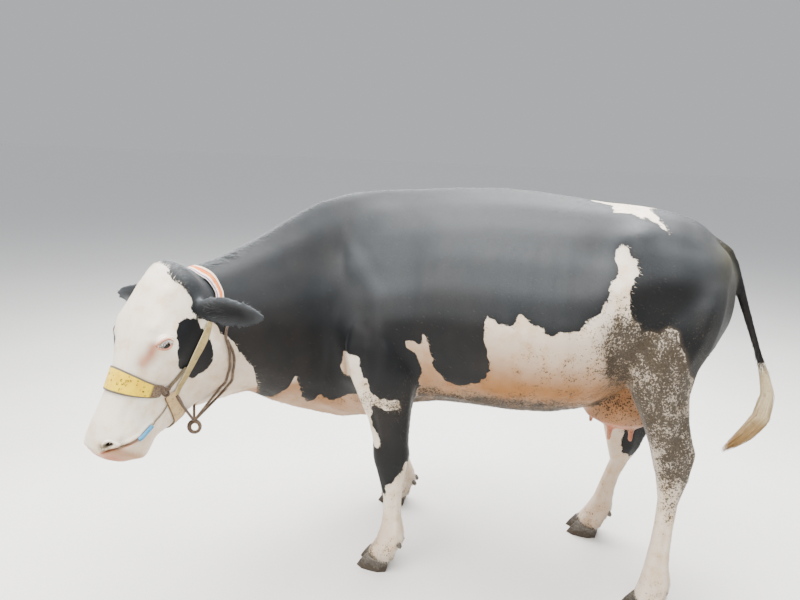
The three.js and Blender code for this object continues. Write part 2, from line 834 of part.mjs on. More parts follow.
// The whole body first, then thin cuts through it.
const trunk = trunkGeometry();
const tail = tailGeometry();
const sides = { left: -1, right: 1 };
const headSides = { left: 1, right: -1 };
const legs = {
  fore_left: legGeometry(FORE_LEG, sides.left, STILL, STILL, STILL),
  fore_right: legGeometry(FORE_LEG, sides.right, AHEAD_FORE_RIGHT, STILL, STILL),
  hind_left: legGeometry(HIND_LEG, sides.left, AHEAD_HIND_LEFT, STILL, STILL),
  hind_right: legGeometry(
    HIND_LEG,
    sides.right,
    AHEAD_HIND_RIGHT,
    LOWER_HIND_RIGHT,
    FULLER_HIND_RIGHT,
  ),
};
const ears = {
  left: earGeometry(headSides.left, EAR_LEFT_SET),
  right: earGeometry(headSides.right, EAR_RIGHT_SET),
};
const eyes = { left: eyeGeometry(headSides.left), right: eyeGeometry(headSides.right) };
const whole = join([solid(trunk), solid(neckGeometry()), solid(headGeometry())]);
const sockets = [...Object.values(legs), ...Object.values(ears), ...Object.values(eyes), tail];
const core = cutAway(whole, sockets.map((geometry) => grown(geometry)));
const bodySurface = new THREE.Mesh(geometryOf(whole));

const SHOULDER_CUT = [-612, 0, 1000];
const SHOULDER_NORMAL = [-1, 0, 0];
const CUT_AT_POLL = [-30, 0, 40]; // where the cut between neck and head meets the poll,
const CUT_AT_JAW = [150, 0, -290]; // and where it leaves under the jaw, in the head's frame
const pollBack = inHead(...CUT_AT_POLL);
const jawBack = inHead(...CUT_AT_JAW);
const headCutNormal = new THREE.Vector3()
  .crossVectors(LEFT, new THREE.Vector3().subVectors(pollBack, jawBack))
  .normalize();
if (headCutNormal.dot(FACE) < 0) headCutNormal.negate();
const HEAD_NORMAL = headCutNormal.toArray();
const fore = beyond(core, SHOULDER_CUT, SHOULDER_NORMAL);

place("trunk", behind(core, SHOULDER_CUT, SHOULDER_NORMAL), "black_coat");
place("neck", behind(fore, pollBack.toArray(), HEAD_NORMAL), "black_coat");
place("head", beyond(fore, pollBack.toArray(), HEAD_NORMAL), "white_coat");
for (const [name, geometry] of Object.entries(ears)) {
  place("ear_" + name, solid(geometry), "black_coat");
}
for (const [name, geometry] of Object.entries(eyes)) {
  place("eye_" + name, solid(geometry), "eye");
}

const SWITCH_CUT = [0, 0, SWITCH_START];
place("tail", beyond(solid(tail), SWITCH_CUT, [0, 0, 1]), "black_coat");
place("tail_switch", behind(solid(tail), SWITCH_CUT, [0, 0, 1]), "switch_hair");

const teats = TEATS.map(([x, y]) => teatGeometry(x, y));
const bag = join([solid(udderGeometry()), ...teats.map((teat) => solid(teat))]);
place(
  "udder",
  cutAway(bag, [grown(trunk), grown(legs.hind_left), grown(legs.hind_right)]),
  "pink_skin",
);

// Each foot: two claws under the coronet and two dewclaws behind the fetlock.
const feet = {
  fore_left: { toe: -532, y: -220, heel: -360, joint: 400 },
  fore_right: { toe: -562, y: 220, heel: -390, joint: 400 },
  hind_left: { toe: 428, y: -215, heel: 566, joint: 640 },
  hind_right: { toe: 258, y: 215, heel: 431, joint: 530 },
};
for (const [name, foot] of Object.entries(feet)) {
  const front = [foot.toe + CORONET_BACK, foot.y, CLAW_HEIGHT];
  const coronet = [(CLAW_HEIGHT - HEEL_HEIGHT) / CORONET_RUN, 0, 1];
  const dewclaws = [-1, 1].map((side) => dewclawGeometry(foot, side));
  const leg = cutAway(
    beyond(solid(legs[name]), front, coronet),
    dewclaws.map((geometry) => grown(geometry)),
  );
  const joint = [0, 0, foot.joint];
  place("leg_" + name + "_upper", beyond(leg, joint, [0, 0, 1]), "black_coat");
  place("leg_" + name + "_lower", behind(leg, joint, [0, 0, 1]), "white_coat");
  [-1, 1].forEach((side, i) => {
    const part = side * Math.sign(foot.y) > 0 ? "outer" : "inner";
    const claw = solid(clawGeometry(foot.toe, foot.y, side));
    place("claw_" + name + "_" + part, behind(claw, front, coronet), "horn");
    place("dewclaw_" + name + "_" + part, solid(dewclaws[i]), "horn");
  });
}

// The halter: a noseband, a chin strap, a knot on each cheek, two straps up each cheek, one strap
// behind the ears, and ropes under the throat that end in a ring.
const knots = {};
for (const [name, side] of Object.entries(headSides)) {
  const [along, degrees] = KNOT_PLACE;
  knots[name] = knotGeometry(along, side * degrees, KNOT_SIZE);
  place("knot_" + name, solid(knots[name]), "rope");
}
const knotSockets = Object.values(knots).map((geometry) => grown(geometry));
const bodySocket = grown(bodySurface.geometry);
const aroundKnots = (geometry) => cutAway(solid(geometry), [bodySocket, ...knotSockets]);
place("noseband", aroundKnots(strapGeometry(NOSEBAND, 15)), "webbing");
const chinStrap = strapGeometry(CHIN_STRAP, 11);
const chinSocket = grown(chinStrap);
place("chin_strap", aroundKnots(chinStrap), "strap");
const cheekSockets = [];
for (const [name, side] of Object.entries(headSides)) {
  const cheekStrap = strapGeometry(onSide(CHEEK_STRAP, side), 9);
  const cheekSocket = grown(cheekStrap);
  cheekSockets.push(cheekSocket);
  place("cheek_strap_" + name, cutAway(aroundKnots(cheekStrap), [chinSocket]), "strap");
  const lowerStrap = strapGeometry(onSide(LOWER_STRAP, side), 5);
  place("lower_strap_" + name, cutAway(aroundKnots(lowerStrap), [cheekSocket]), "strap");
}
const overTop = [...CROWN_STRAP, CROWN_MIDDLE, ...onSide(CROWN_STRAP, -1).reverse()];
const crownStrap = strapGeometry(overTop, 17, CROWN_CLEARANCE);
place("crown_strap", aroundKnots(crownStrap), "crown");

const ring = inHead(...RING_PLACE);
const RING_FACING = new THREE.Vector3(0.2, -1, 0.3);
const hanging = (side) => [...ropeOnBody(onSide(THROAT_ROPE, side), 11, ROPE_DIAMETER), ring];
const loose = [...ropeOnBody(THROAT_ROPE_LOOSE, 7, ROPE_DIAMETER), ring];
const jawRope = [...ropeOnBody(JAW_ROPE, 3, ROPE_DIAMETER), ring];
const torus = new THREE.TorusGeometry(RING_RADIUS, ROPE_DIAMETER / 2, ROPE_SIDES, RING_SIDES);
torus.lookAt(RING_FACING);
torus.translate(ring.x, ring.y, ring.z - RING_RADIUS);
const ropes = [
  ropeGeometry(hanging(1), ROPE_DIAMETER, 13),
  ropeGeometry(hanging(-1), ROPE_DIAMETER, 9),
  ropeGeometry(loose, ROPE_DIAMETER, 9),
  ropeGeometry(jawRope, ROPE_DIAMETER, 4),
  torus,
];
const ropeWhole = join(ropes.map((geometry) => solid(geometry)));
place("halter_rope", cutAway(ropeWhole, [bodySocket, chinSocket, ...cheekSockets, ...knotSockets]), "rope");
const sleeveOnBody = ropeOnBody(CORD_SLEEVE, 5, SLEEVE_DIAMETER);
const sleeve = ropeGeometry(sleeveOnBody, SLEEVE_DIAMETER, 4);
const sleeveSocket = grown(sleeve);
place("cord_sleeve", cutAway(solid(sleeve), [bodySocket]), "sleeve");
for (const [name, path] of Object.entries({ rear: CORD_REAR, front: CORD_FRONT })) {
  const cord = ropeGeometry(ropeOnBody(path, 5, CORD_DIAMETER), CORD_DIAMETER, 4);
  place("cord_" + name, cutAway(aroundKnots(cord), [chinSocket, sleeveSocket]), "cord");
}

// The group's origin is the middle of the cow's box, on the floor.
cow.updateMatrixWorld(true);
const box = new THREE.Box3().setFromObject(cow);
const part = new THREE.Group();
cow.position.set(-(box.min.x + box.max.x) / 2, -(box.min.y + box.max.y) / 2, -box.min.z);
part.add(cow);

export default part;
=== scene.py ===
"""A life-size model of a black and white dairy cow that wears a halter, on a pale studio floor.

Places are in metres in the cow's own frame, where the cow faces -X, its left side is -Y and the
floor is z = 0. Places on the head are (along the face from the poll, out to the left, up from the
face line). `SHIFT` carries the cow's frame to the part's.
"""

import math

import bmesh
import bpy
import numpy as np
from mathutils import Matrix, Vector
from mathutils.bvhtree import BVHTree


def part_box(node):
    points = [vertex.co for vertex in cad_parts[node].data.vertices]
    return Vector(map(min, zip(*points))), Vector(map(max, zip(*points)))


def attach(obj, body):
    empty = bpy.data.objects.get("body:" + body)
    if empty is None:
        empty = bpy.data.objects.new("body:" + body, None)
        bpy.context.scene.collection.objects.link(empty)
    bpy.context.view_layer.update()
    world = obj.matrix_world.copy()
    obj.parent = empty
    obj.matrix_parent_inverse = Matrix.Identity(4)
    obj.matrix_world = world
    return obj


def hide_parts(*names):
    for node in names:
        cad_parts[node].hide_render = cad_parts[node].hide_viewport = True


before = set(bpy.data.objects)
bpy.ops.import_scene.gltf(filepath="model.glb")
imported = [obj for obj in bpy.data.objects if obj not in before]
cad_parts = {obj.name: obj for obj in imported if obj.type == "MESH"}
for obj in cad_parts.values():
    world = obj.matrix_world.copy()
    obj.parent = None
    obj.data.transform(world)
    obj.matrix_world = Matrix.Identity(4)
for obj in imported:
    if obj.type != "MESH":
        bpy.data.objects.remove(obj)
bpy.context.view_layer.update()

# ---------------------------------------------------------------- the cow's frame

HEAD_YAW = math.radians(68)  # the face is turned to the cow's left
HEAD_PITCH = math.radians(52)  # and points below level
HEAD_ROLL = math.radians(2)
POLL = np.array([-1.032, -0.608, 1.152])
EYE_PLACE = (0.190, 0.105, -0.037)
EYE_RADIUS = 0.021
LEFT, RIGHT = -1, 1  # the sides of the body, as signs of y

upright = np.array([0.0, 0.0, 1.0])
ahead = np.array([-math.cos(HEAD_YAW), -math.sin(HEAD_YAW), 0.0])
level = np.cross(upright, ahead)
lift = ahead * math.sin(HEAD_PITCH) + upright * math.cos(HEAD_PITCH)
FACE = ahead * math.cos(HEAD_PITCH) - upright * math.sin(HEAD_PITCH)
LEFTWARD = level * math.cos(HEAD_ROLL) + lift * math.sin(HEAD_ROLL)
DORSAL = lift * math.cos(HEAD_ROLL) - level * math.sin(HEAD_ROLL)
HEAD_AXES = np.array([FACE, LEFTWARD, DORSAL])


def in_head(along, left, up):
    return POLL + along * FACE + left * LEFTWARD + up * DORSAL


def box_middle(node):
    low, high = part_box(node)
    return (np.array(low) + np.array(high)) / 2


SHIFT = box_middle("eye_left") - in_head(*EYE_PLACE)
rng = np.random.default_rng(7)

# ---------------------------------------------------------------- meshes


def new_object(name, mesh, material=None):
    made = bpy.data.objects.new(name, mesh)
    bpy.context.scene.collection.objects.link(made)
    if material:
        mesh.materials.append(material)
    return made


def mesh_from(name, places, faces):
    """A mesh from places in the cow's frame."""
    mesh = bpy.data.meshes.new(name)
    mesh.from_pydata((np.asarray(places) + SHIFT).tolist(), [], faces)
    mesh.shade_smooth()
    return mesh


def places_of(mesh):
    flat = np.empty(len(mesh.vertices) * 3)
    mesh.vertices.foreach_get("co", flat)
    return flat.reshape(-1, 3) - SHIFT


def move_places(mesh, places):
    mesh.vertices.foreach_set("co", (places + SHIFT).ravel())
    mesh.update()


def normals_of(mesh):
    flat = np.empty(len(mesh.vertices) * 3)
    mesh.vertex_normals.foreach_get("vector", flat)
    return flat.reshape(-1, 3)


def set_field(mesh, name, values):
    """Stores one number for each vertex, for the materials to read."""
    field = mesh.attributes.new(name, "FLOAT", "POINT")
    field.data.foreach_set("value", np.asarray(values, dtype=np.float32))


def step(values, low, high):
    """0 below low, 1 above high, and a smooth rise between them."""
    t = np.clip((values - low) / (high - low), 0, 1)
    return t * t * (3 - 2 * t)


def unit(vectors):
    vectors = np.asarray(vectors, dtype=float)
    return vectors / np.maximum(np.linalg.norm(vectors, axis=-1, keepdims=True), 1e-9)


def bell(values, middle, width):
    """1 at the middle, and less on both sides of it."""
    return np.exp(-(((values - middle) / width) ** 2))


def folded(places):
    """Both sides laid on one: the second number becomes the distance out."""
    return places * (1, 0, 1) + np.abs(places) * (0, 1, 0)


def run_of(points):
    """How far along a line each of its points is."""
    return np.concatenate([[0], np.cumsum(np.linalg.norm(np.diff(points, axis=0), axis=1))])


def cloud(places, pitch, layers=3):
    """Smooth random numbers between -1 and 1, from a lattice of the given pitch and finer ones."""
    total, weight = np.zeros(len(places)), 0.0
    for layer in range(layers):
        at = places / (pitch / 2**layer) + 31.7 * (layer + 1)
        cell = np.floor(at)
        t = at - cell
        t = t * t * (3 - 2 * t)
        value = np.zeros(len(places))
        for corner in np.ndindex(2, 2, 2):
            share = np.prod(np.where(corner, t, 1 - t), axis=1)
            seed = (cell + corner) @ (12.9898, 78.233, 37.719)
            value += share * (2 * ((np.sin(seed) * 43758.5453) % 1.0) - 1)
        total += value * 0.6**layer
        weight += 0.6**layer
    return total / weight


class Neighbours:
    """Which vertices of a mesh are joined by an edge, for averaging over them."""

    def __init__(self, mesh):
        edges = np.empty(len(mesh.edges) * 2, dtype=np.int64)
        mesh.edges.foreach_get("vertices", edges)
        a, b = edges[0::2], edges[1::2]
        start, self.end = np.concatenate([a, b]), np.concatenate([b, a])
        order = np.argsort(start, kind="stable")
        self.end = self.end[order]
        self.first = np.searchsorted(start[order], np.arange(len(mesh.vertices)))
        self.count = np.bincount(start, minlength=len(mesh.vertices))

    def mean(self, values):
        sums = np.add.reduceat(values[self.end], self.first, axis=0)
        return sums / self.count.reshape((-1,) + (1,) * (values.ndim - 1))

    def diffused(self, values, share, rounds):
        for _ in range(rounds):
            values = values + share * (self.mean(values) - values)
        return values


def edited(mesh, change):
    """Puts a mesh through a change of its vertices and faces."""
    made = bmesh.new()
    made.from_mesh(mesh)
    made.verts.ensure_lookup_table()
    change(made)
    made.to_mesh(mesh)
    made.free()


def facing_out(mesh):
    edited(mesh, lambda made: bmesh.ops.recalc_face_normals(made, faces=made.faces))


def applied(thing):
    """The mesh of an object with its modifiers applied; the object is removed."""
    graph = bpy.context.evaluated_depsgraph_get()
    mesh = bpy.data.meshes.new_from_object(thing.evaluated_get(graph))
    bpy.data.objects.remove(thing)
    return mesh


def joined_nodes(nodes, swell):
    """One mesh of several CAD nodes, each swollen a little so that the cuts between them close."""
    joined = bmesh.new()
    owners = []
    for number, node in enumerate(nodes):
        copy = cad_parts[node].data.copy()
        flat = np.empty(len(copy.vertices) * 3)
        copy.vertices.foreach_get("co", flat)
        copy.vertices.foreach_set("co", flat + swell * normals_of(copy).ravel())
        owners += [number] * len(copy.polygons)
        joined.from_mesh(copy)
        bpy.data.meshes.remove(copy)
    mesh = bpy.data.meshes.new("joined")
    joined.to_mesh(mesh)
    joined.free()
    return mesh, np.array(owners)


def remeshed(mesh, size):
    thing = new_object("remesh", mesh)
    modifier = thing.modifiers.new("remesh", "REMESH")
    modifier.mode = "VOXEL"
    modifier.voxel_size = size
    modifier.use_smooth_shade = True
    return applied(thing)


def tree_of(mesh):
    """A search tree of a mesh, in the part's frame."""
    made = bmesh.new()
    made.from_mesh(mesh)
    tree = BVHTree.FromBMesh(made)
    made.free()
    return tree


# ---------------------------------------------------------------- the skin's shape

SKIN_VOXEL = 0.0055
CUT_CLOSING = 0.0004  # each node is swollen by this to close the cuts
# how deep the skin lies inside the solids
COAT_DEPTH, FACE_COAT_DEPTH, EAR_COAT_DEPTH = 0.0028, 0.0012, 0.0006
SMOOTHING_ROUNDS = 120

# how strongly each node's facets are smoothed away
SOFTNESS = {
    "trunk": 1.0,
    "neck": 0.75,
    "head": 0.16,
    "eye_left": 0.16,
    "eye_right": 0.16,
    "ear_left": 0.04,
    "ear_right": 0.04,
    "tail": 0.06,
    "udder": 0.28,
}
LEG_SOFTNESS = {
    ("fore", "upper"): 0.3,
    ("hind", "upper"): 0.38,
    ("fore", "lower"): 0.1,
    ("hind", "lower"): 0.1,
}
for (pair, level_of_leg), soft in LEG_SOFTNESS.items():
    for side in ("left", "right"):
        SOFTNESS[f"leg_{pair}_{side}_{level_of_leg}"] = soft
FLESH = list(SOFTNESS)
SOFTNESS_SPREAD = 12
TEAT_TOP, TEAT_SOFTNESS = 0.615, 0.05
SHOULDER_LINE, SHOULDER_WIDTH = -0.64, 0.075  # where the neck's edge is smoothed into the trunk
SHOULDER_ROUNDS = 90


def facets_smoothed(places, near, softness):
    """Smooths twice over, which takes the facets away and leaves the size."""
    share = 0.5 * softness[:, None]
    soft = near.diffused(places, share, SMOOTHING_ROUNDS)
    return soft + near.diffused(places - soft, share, SMOOTHING_ROUNDS)


def finer(mesh, chosen):
    """Splits the faces whose vertices are all chosen."""

    def split(made):
        edges = [e for e in made.edges if chosen[e.verts[0].index] and chosen[e.verts[1].index]]
        bmesh.ops.subdivide_edges(made, edges=edges, cuts=1, use_grid_fill=True)

    edited(mesh, split)
    mesh.shade_smooth()


def owners_of(places, tree, owners):
    """Which node of the flesh each place is nearest to."""
    return np.array([owners[tree.find_nearest(Vector(p))[2]] for p in places + SHIFT])


def skin_base(cad, tree, owners):
    """The joined solids as one close mesh, without their facets."""
    mesh = remeshed(cad, SKIN_VOXEL)
    places = places_of(mesh)
    owner = owners_of(places, tree, owners)
    near = Neighbours(mesh)
    softness = np.array(list(SOFTNESS.values()))[owner]
    teats = (owner == FLESH.index("udder")) & (places[:, 2] < TEAT_TOP)
    softness = near.diffused(np.where(teats, TEAT_SOFTNESS, softness), 0.5, SOFTNESS_SPREAD)
    soft = facets_smoothed(places, near, softness)
    shoulder = bell(places[:, 0], SHOULDER_LINE, SHOULDER_WIDTH) * step(places[:, 2], 0.70, 0.85)
    shoulder *= step(softness, 0.40, 0.70)
    move_places(mesh, near.diffused(soft, 0.5 * shoulder[:, None], SHOULDER_ROUNDS))
    return mesh, near


def without_specks(mesh, near):
    """Deletes what isn't joined to the main surface."""
    label = np.arange(len(mesh.vertices))
    start = np.repeat(label, near.count)
    while True:
        lowest = label.copy()
        np.minimum.at(lowest, start, label[near.end])
        lowest = lowest[lowest]
        if np.array_equal(lowest, label):
            break
        label = lowest
    names, sizes = np.unique(label, return_counts=True)
    stray = np.flatnonzero(label != names[sizes.argmax()])
    if len(stray):


        def delete(made):
            bmesh.ops.delete(made, geom=[made.verts[i] for i in stray], context="VERTS")

        edited(mesh, delete)


# ---------------------------------------------------------------- forms on the skin

# Swellings and hollows on both sides: the middle (with y as the distance out), the radii and
# the rise.
BODY_FORMS = [
    ((-0.46, 0.28, 0.94), (0.085, 0.10, 0.12), 0.011),  # shoulder muscle
    ((-0.605, 0.20, 0.89), (0.045, 0.08, 0.06), 0.012),  # point of the shoulder
    ((-0.39, 0.24, 1.10), (0.045, 0.12, 0.13), -0.013),  # behind the shoulder blade
    ((-0.34, 0.27, 0.87), (0.035, 0.08, 0.07), -0.008),  # behind the elbow
    ((-0.375, 0.27, 0.80), (0.03, 0.06, 0.04), 0.009),  # elbow
    ((0.315, 0.215, 1.305), (0.035, 0.055, 0.030), 0.020),  # hook bone
    ((0.600, 0.120, 1.235), (0.032, 0.050, 0.035), 0.012),  # pin bone
    ((0.225, 0.245, 1.255), (0.055, 0.090, 0.055), -0.018),  # flank hollow
    ((0.46, 0.19, 1.265), (0.060, 0.070, 0.045), -0.010),  # between hook and pin
    ((0.44, 0.26, 1.16), (0.050, 0.070, 0.055), 0.008),  # hip joint
    ((0.375, 0.26, 0.84), (0.045, 0.07, 0.07), 0.010),  # stifle
    ((0.29, 0.27, 0.93), (0.035, 0.08, 0.08), -0.010),  # in front of the thigh
    ((0.565, 0.20, 1.08), (0.030, 0.07, 0.11), 0.007),  # back of the thigh
    ((0.50, 0.27, 1.00), (0.022, 0.07, 0.12), -0.006),  # between the thigh's muscles
    ((-0.66, 0.20, 1.16), (0.06, 0.09, 0.05), -0.006),  # in front of the shoulder blade
    ((0.62, 0.05, 1.285), (0.030, 0.025, 0.030), -0.010),  # beside the tail head
]
# Ridges and grooves on both sides: their line, how wide they are and their rise.
BODY_LINES = [
    ([(-0.50, 0.10, 1.33), (-0.49, 0.13, 1.25), (-0.52, 0.16, 1.17), (-0.58, 0.17, 1.12)],
     0.040, 0.007),  # crest of the shoulder blade
    ([(-0.62, 0.17, 1.12), (-0.655, 0.20, 1.02), (-0.645, 0.22, 0.92)],
     0.036, 0.007),  # front of the shoulder
    ([(0.315, 0.215, 1.29), (0.32, 0.27, 1.18), (0.325, 0.28, 1.05), (0.345, 0.27, 0.92)],
     0.022, 0.007),  # from the hook bone to the stifle
    ([(0.20, 0.31, 1.00), (0.27, 0.29, 0.89), (0.32, 0.26, 0.80)],
     0.018, 0.008),  # fold of the flank
    ([(-0.35, 0.20, 0.66), (-0.20, 0.20, 0.69), (-0.05, 0.20, 0.70), (0.12, 0.19, 0.71)],
     0.010, 0.003),  # vein under the belly
]
RIB_COUNT = 9
RIB_FIRST, RIB_STEP = -0.34, 0.058
RIB_SLOPE = 0.30  # how far a rib runs back for each metre down
RIB_RISE = 0.0005
FOLD_PLACES = [0.47, 0.545, 0.625, 0.715]  # along the neck
FOLD_RISE = 0.005
SPINE_RISE = 0.003

# How far each right leg's parts are moved ahead of the left leg's, by height.
AHEAD_RIGHT = {
    "fore": ((0.0, 0.10, 0.20, 0.32, 0.48, 0.64, 0.76, 0.90, 1.10),
             (-0.030, -0.038, -0.056, -0.074, -0.080, -0.076, -0.060, -0.030, 0.0)),
    "hind": ((0.0, 0.12, 0.30, 0.48, 0.62, 0.82, 1.3),
             (-0.140, -0.136, -0.120, -0.084, -0.056, -0.018, 0.0)),
}
LOWER_RIGHT = ((0.0, 0.15, 0.32, 0.47, 0.61, 0.76, 0.96, 1.3),
               (0, -0.018, -0.052, -0.092, -0.104, -0.072, -0.020, 0))
# Forms and lines on each leg, given for the left one.
LEG_FORMS = {
    "fore": [
        ((-0.478, 0.210, 0.455), (0.025, 0.045, 0.035), 0.005),  # knee
        ((-0.36, 0.210, 0.465), (0.014, 0.035, 0.022), 0.006),  # the bone behind it
        ((-0.425, 0.250, 0.535), (0.020, 0.030, 0.030), -0.004),
        ((-0.46, 0.217, 0.125), (0.020, 0.035, 0.022), 0.003),  # fetlock
        ((-0.37, 0.217, 0.150), (0.016, 0.030, 0.020), 0.004),
    ],
    "hind": [
        ((0.525, 0.235, 0.690), (0.016, 0.040, 0.045), -0.009),  # hollow under the hamstring
        ((0.525, 0.165, 0.690), (0.016, 0.040, 0.045), -0.009),
        ((0.588, 0.202, 0.605), (0.018, 0.030, 0.028), 0.006),  # point of the hock
        ((0.475, 0.235, 0.555), (0.025, 0.025, 0.025), 0.004),
        ((0.535, 0.240, 0.550), (0.014, 0.025, 0.035), -0.004),
        ((0.476, 0.214, 0.135), (0.020, 0.035, 0.022), 0.003),  # fetlock
        ((0.560, 0.214, 0.150), (0.016, 0.030, 0.020), 0.004),
    ],
}
LEG_LINES = {
    "fore": [
        ([(-0.395, 0.180, 0.39), (-0.393, 0.180, 0.18)], 0.006, -0.0040),
        ([(-0.395, 0.246, 0.39), (-0.393, 0.250, 0.18)], 0.006, -0.0040),
        ([(-0.49, 0.262, 0.70), (-0.47, 0.262, 0.60), (-0.45, 0.258, 0.50)], 0.009, -0.0035),
    ],
    "hind": [
        ([(0.533, 0.172, 0.46), (0.530, 0.176, 0.20)], 0.006, -0.0040),
        ([(0.533, 0.240, 0.46), (0.530, 0.246, 0.20)], 0.006, -0.0040),
        ([(0.47, 0.262, 0.80), (0.49, 0.255, 0.70), (0.52, 0.235, 0.62)], 0.010, 0.0035),
    ],
}


def swell(places, middle, radii, rise):
    gap = (places - np.array(middle)) / np.array(radii)
    return rise * np.exp(-0.5 * (gap * gap).sum(axis=1))


def line_gap(places, corners):
    """How far each place is from a line of several corners."""
    corners = np.asarray(corners, dtype=float)
    best = np.full(len(places), np.inf)
    for a, b in zip(corners[:-1], corners[1:]):
        along = b - a
        share = np.clip((places - a) @ along / (along @ along), 0, 1)
        best = np.minimum(best, np.linalg.norm(places - a - share[:, None] * along, axis=1))
    return best


def ridge(places, corners, width, rise):
    return rise * np.exp(-0.5 * (line_gap(places, corners) / width) ** 2)


def formed(places, forms, lines):
    """How far swellings and ridges raise each place."""
    rise = np.zeros(len(places))
    for form in forms:
        rise += swell(places, *form)
    for line in lines:
        rise += ridge(places, *line)
    return rise


def neck_run(places):
    """How far along the neck a place is, from the chest towards the head."""
    return -0.55 * places[:, 0] - 0.83 * places[:, 1]


def on_left_leg(places, which):
    """Where a place on a leg would be on the left leg of its pair, with y turned outward."""
    moved = places.copy()
    right = places[:, 1] > 0
    heights = places[:, 2]
    if which == "hind":
        heights = heights - np.where(right, np.interp(heights, *LOWER_RIGHT), 0)
    moved[:, 2] = heights
    moved[:, 0] -= np.where(right, np.interp(heights, *AHEAD_RIGHT[which]), 0)
    moved[:, 1] = np.abs(places[:, 1])
    return moved


def body_rise(places, of_leg):
    """How far each place stands out from the smooth body. `of_leg` tells the legs' vertices."""
    rise = formed(folded(places), BODY_FORMS, BODY_LINES)
    x, y, z = places.T
    flank = step(np.abs(y), 0.16, 0.24) * step(z, 0.72, 0.82) * (1 - step(z, 1.20, 1.34))
    barrel = flank * step(x, -0.40, -0.33) * (1 - step(x, 0.12, 0.20))
    phase = (x - RIB_FIRST - RIB_SLOPE * (1.2 - z) ** 2) / RIB_STEP
    rise += RIB_RISE * barrel * np.cos(2 * math.pi * np.clip(phase, -0.5, RIB_COUNT))
    inside = step(x + 0.35 * y, -0.78, -0.70) * step(z, 0.66, 0.80) * (1 - step(z, 1.16, 1.28))
    for k, place in enumerate(FOLD_PLACES):
        bend = neck_run(places) - place - 0.10 * (z - 0.95) * (k - 1)
        rise += FOLD_RISE * inside * (bell(bend, 0, 0.013) - 0.7 * bell(bend, 0.024, 0.012))
    rise += SPINE_RISE * bell(y, 0, 0.016) * step(z, 1.30, 1.36) * step(x, -0.45, -0.30)
    for which, pick in of_leg.items():
        rise[pick] += formed(on_left_leg(places[pick], which), LEG_FORMS[which], LEG_LINES[which])
    return rise


# ---------------------------------------------------------------- the face

HEAD_FORMS = [
    ((0.165, 0.115, 0.005), (0.035, 0.022, 0.018), 0.006),  # brow
    ((0.115, 0.105, -0.045), (0.025, 0.03, 0.02), -0.004),  # temple
    ((0.245, 0.095, -0.085), (0.030, 0.03, 0.015), 0.004),  # below the eye
    ((0.165, 0.105, -0.205), (0.055, 0.04, 0.060), 0.005),  # jaw muscle
    ((0.275, 0.085, -0.175), (0.030, 0.04, 0.050), -0.006),  # in front of it
    ((0.300, 0.050, -0.035), (0.045, 0.02, 0.020), -0.003),
    ((0.520, 0.030, -0.085), (0.018, 0.020, 0.030), 0.003),
    ((0.455, 0.080, -0.115), (0.030, 0.03, 0.020), 0.004),  # upper lip
    ((0.440, 0.070, -0.185), (0.035, 0.03, 0.025), 0.004),  # lower lip
    ((0.475, 0.040, -0.210), (0.035, 0.04, 0.022), 0.006),  # chin
    ((0.425, 0.045, -0.245), (0.018, 0.05, 0.030), -0.005),  # behind the chin
]
HEAD_LINES = [
    ([(0.240, 0.100, -0.095), (0.300, 0.082, -0.110), (0.350, 0.068, -0.112)], 0.010, 0.0035),
    ([(0.300, 0.062, -0.060), (0.380, 0.056, -0.075), (0.440, 0.060, -0.085)], 0.008, -0.0020),
    ([(0.055, 0.070, 0.015), (0.110, 0.072, 0.018), (0.165, 0.085, 0.010)], 0.012, 0.004),
]
# the mouth's line from the front to its corner, and how deep and wide the slit is
MOUTH = [(0.540, 0.0, -0.088), (0.529, 0.025, -0.084), (0.512, 0.046, -0.083), (0.497, 0.065, -0.091),
         (0.482, 0.075, -0.104), (0.466, 0.080, -0.121), (0.444, 0.079, -0.141), (0.405, 0.070, -0.160)]
MOUTH_DEPTH, MOUTH_WIDTH = 0.008, 0.0026
UPPER_LIP_RISE, LOWER_LIP_RISE = 0.0035, 0.002
NOSTRIL = (0.492, 0.056, -0.074)
NOSTRIL_LONG = (-0.62, 0.68, -0.38)  # which way the slit of the nostril runs
NOSTRIL_SHORT = (0.75, 0.45, -0.25)  # and which way it is narrow
NOSTRIL_HALF = (0.0165, 0.0065)
NOSTRIL_DEPTH, NOSTRIL_RIM = 0.013, 0.0035
NOSTRIL_CURVE = 14.0
NOSTRIL_REACH = 0.045
TEAR = [(0.212, 0.098, -0.022), (0.235, 0.090, -0.029), (0.262, 0.076, -0.030)]
LID_GAP = 0.0022  # between the eyeball and the outside of the lids
LID_BLEND = 0.004  # how gently the ball presses through the skin
SLIT_HALF = 0.0215
SLIT_ABOVE, SLIT_BELOW = 0.0112, 0.0080
SLIT_TILT = math.radians(45)  # the eye stays level on the tipped head
SLIT_SINK = 0.007  # how far the skin inside the slit is drawn behind the eyeball's front
EYE_REGION, EYE_REGION_EDGE = 0.05, 0.014
# Forms of the lids: how far they are from the slit, how wide they are and their rise.
LID_EDGE = (0.0016, 0.0014, 0.0012)
UPPER_CREASES = [(0.0085, 0.0016, -0.0018), (0.0120, 0.0020, 0.0010), (0.0160, 0.0018, -0.0014)]
LOWER_CREASES = [(0.0070, 0.0014, -0.0010), (0.0120, 0.0016, -0.0009)]

EAR_ROOT = (0.054, 0.084, -0.088)
EAR_SETS = {1: (0.25, 0.22, 0.0), -1: (-0.07, -0.01, 0.9)}  # how each droops, goes back and twists
EAR_LENGTH, EAR_WIDTH, EAR_SAG = 0.228, 0.094, 0.012
EAR_SHARES = (0, 0.14, 0.30, 0.48, 0.68, 0.86, 1)  # of its length
EAR_HALVES = (0.5, 0.6, 0.94, 1.0, 0.84, 0.54, 0.14)  # of half its width there
EAR_BOWL, EAR_RIM = 0.011, 0.004


def head_places(places):
    return (places - POLL) @ HEAD_AXES.T


def from_head(places):
    return places @ HEAD_AXES + POLL


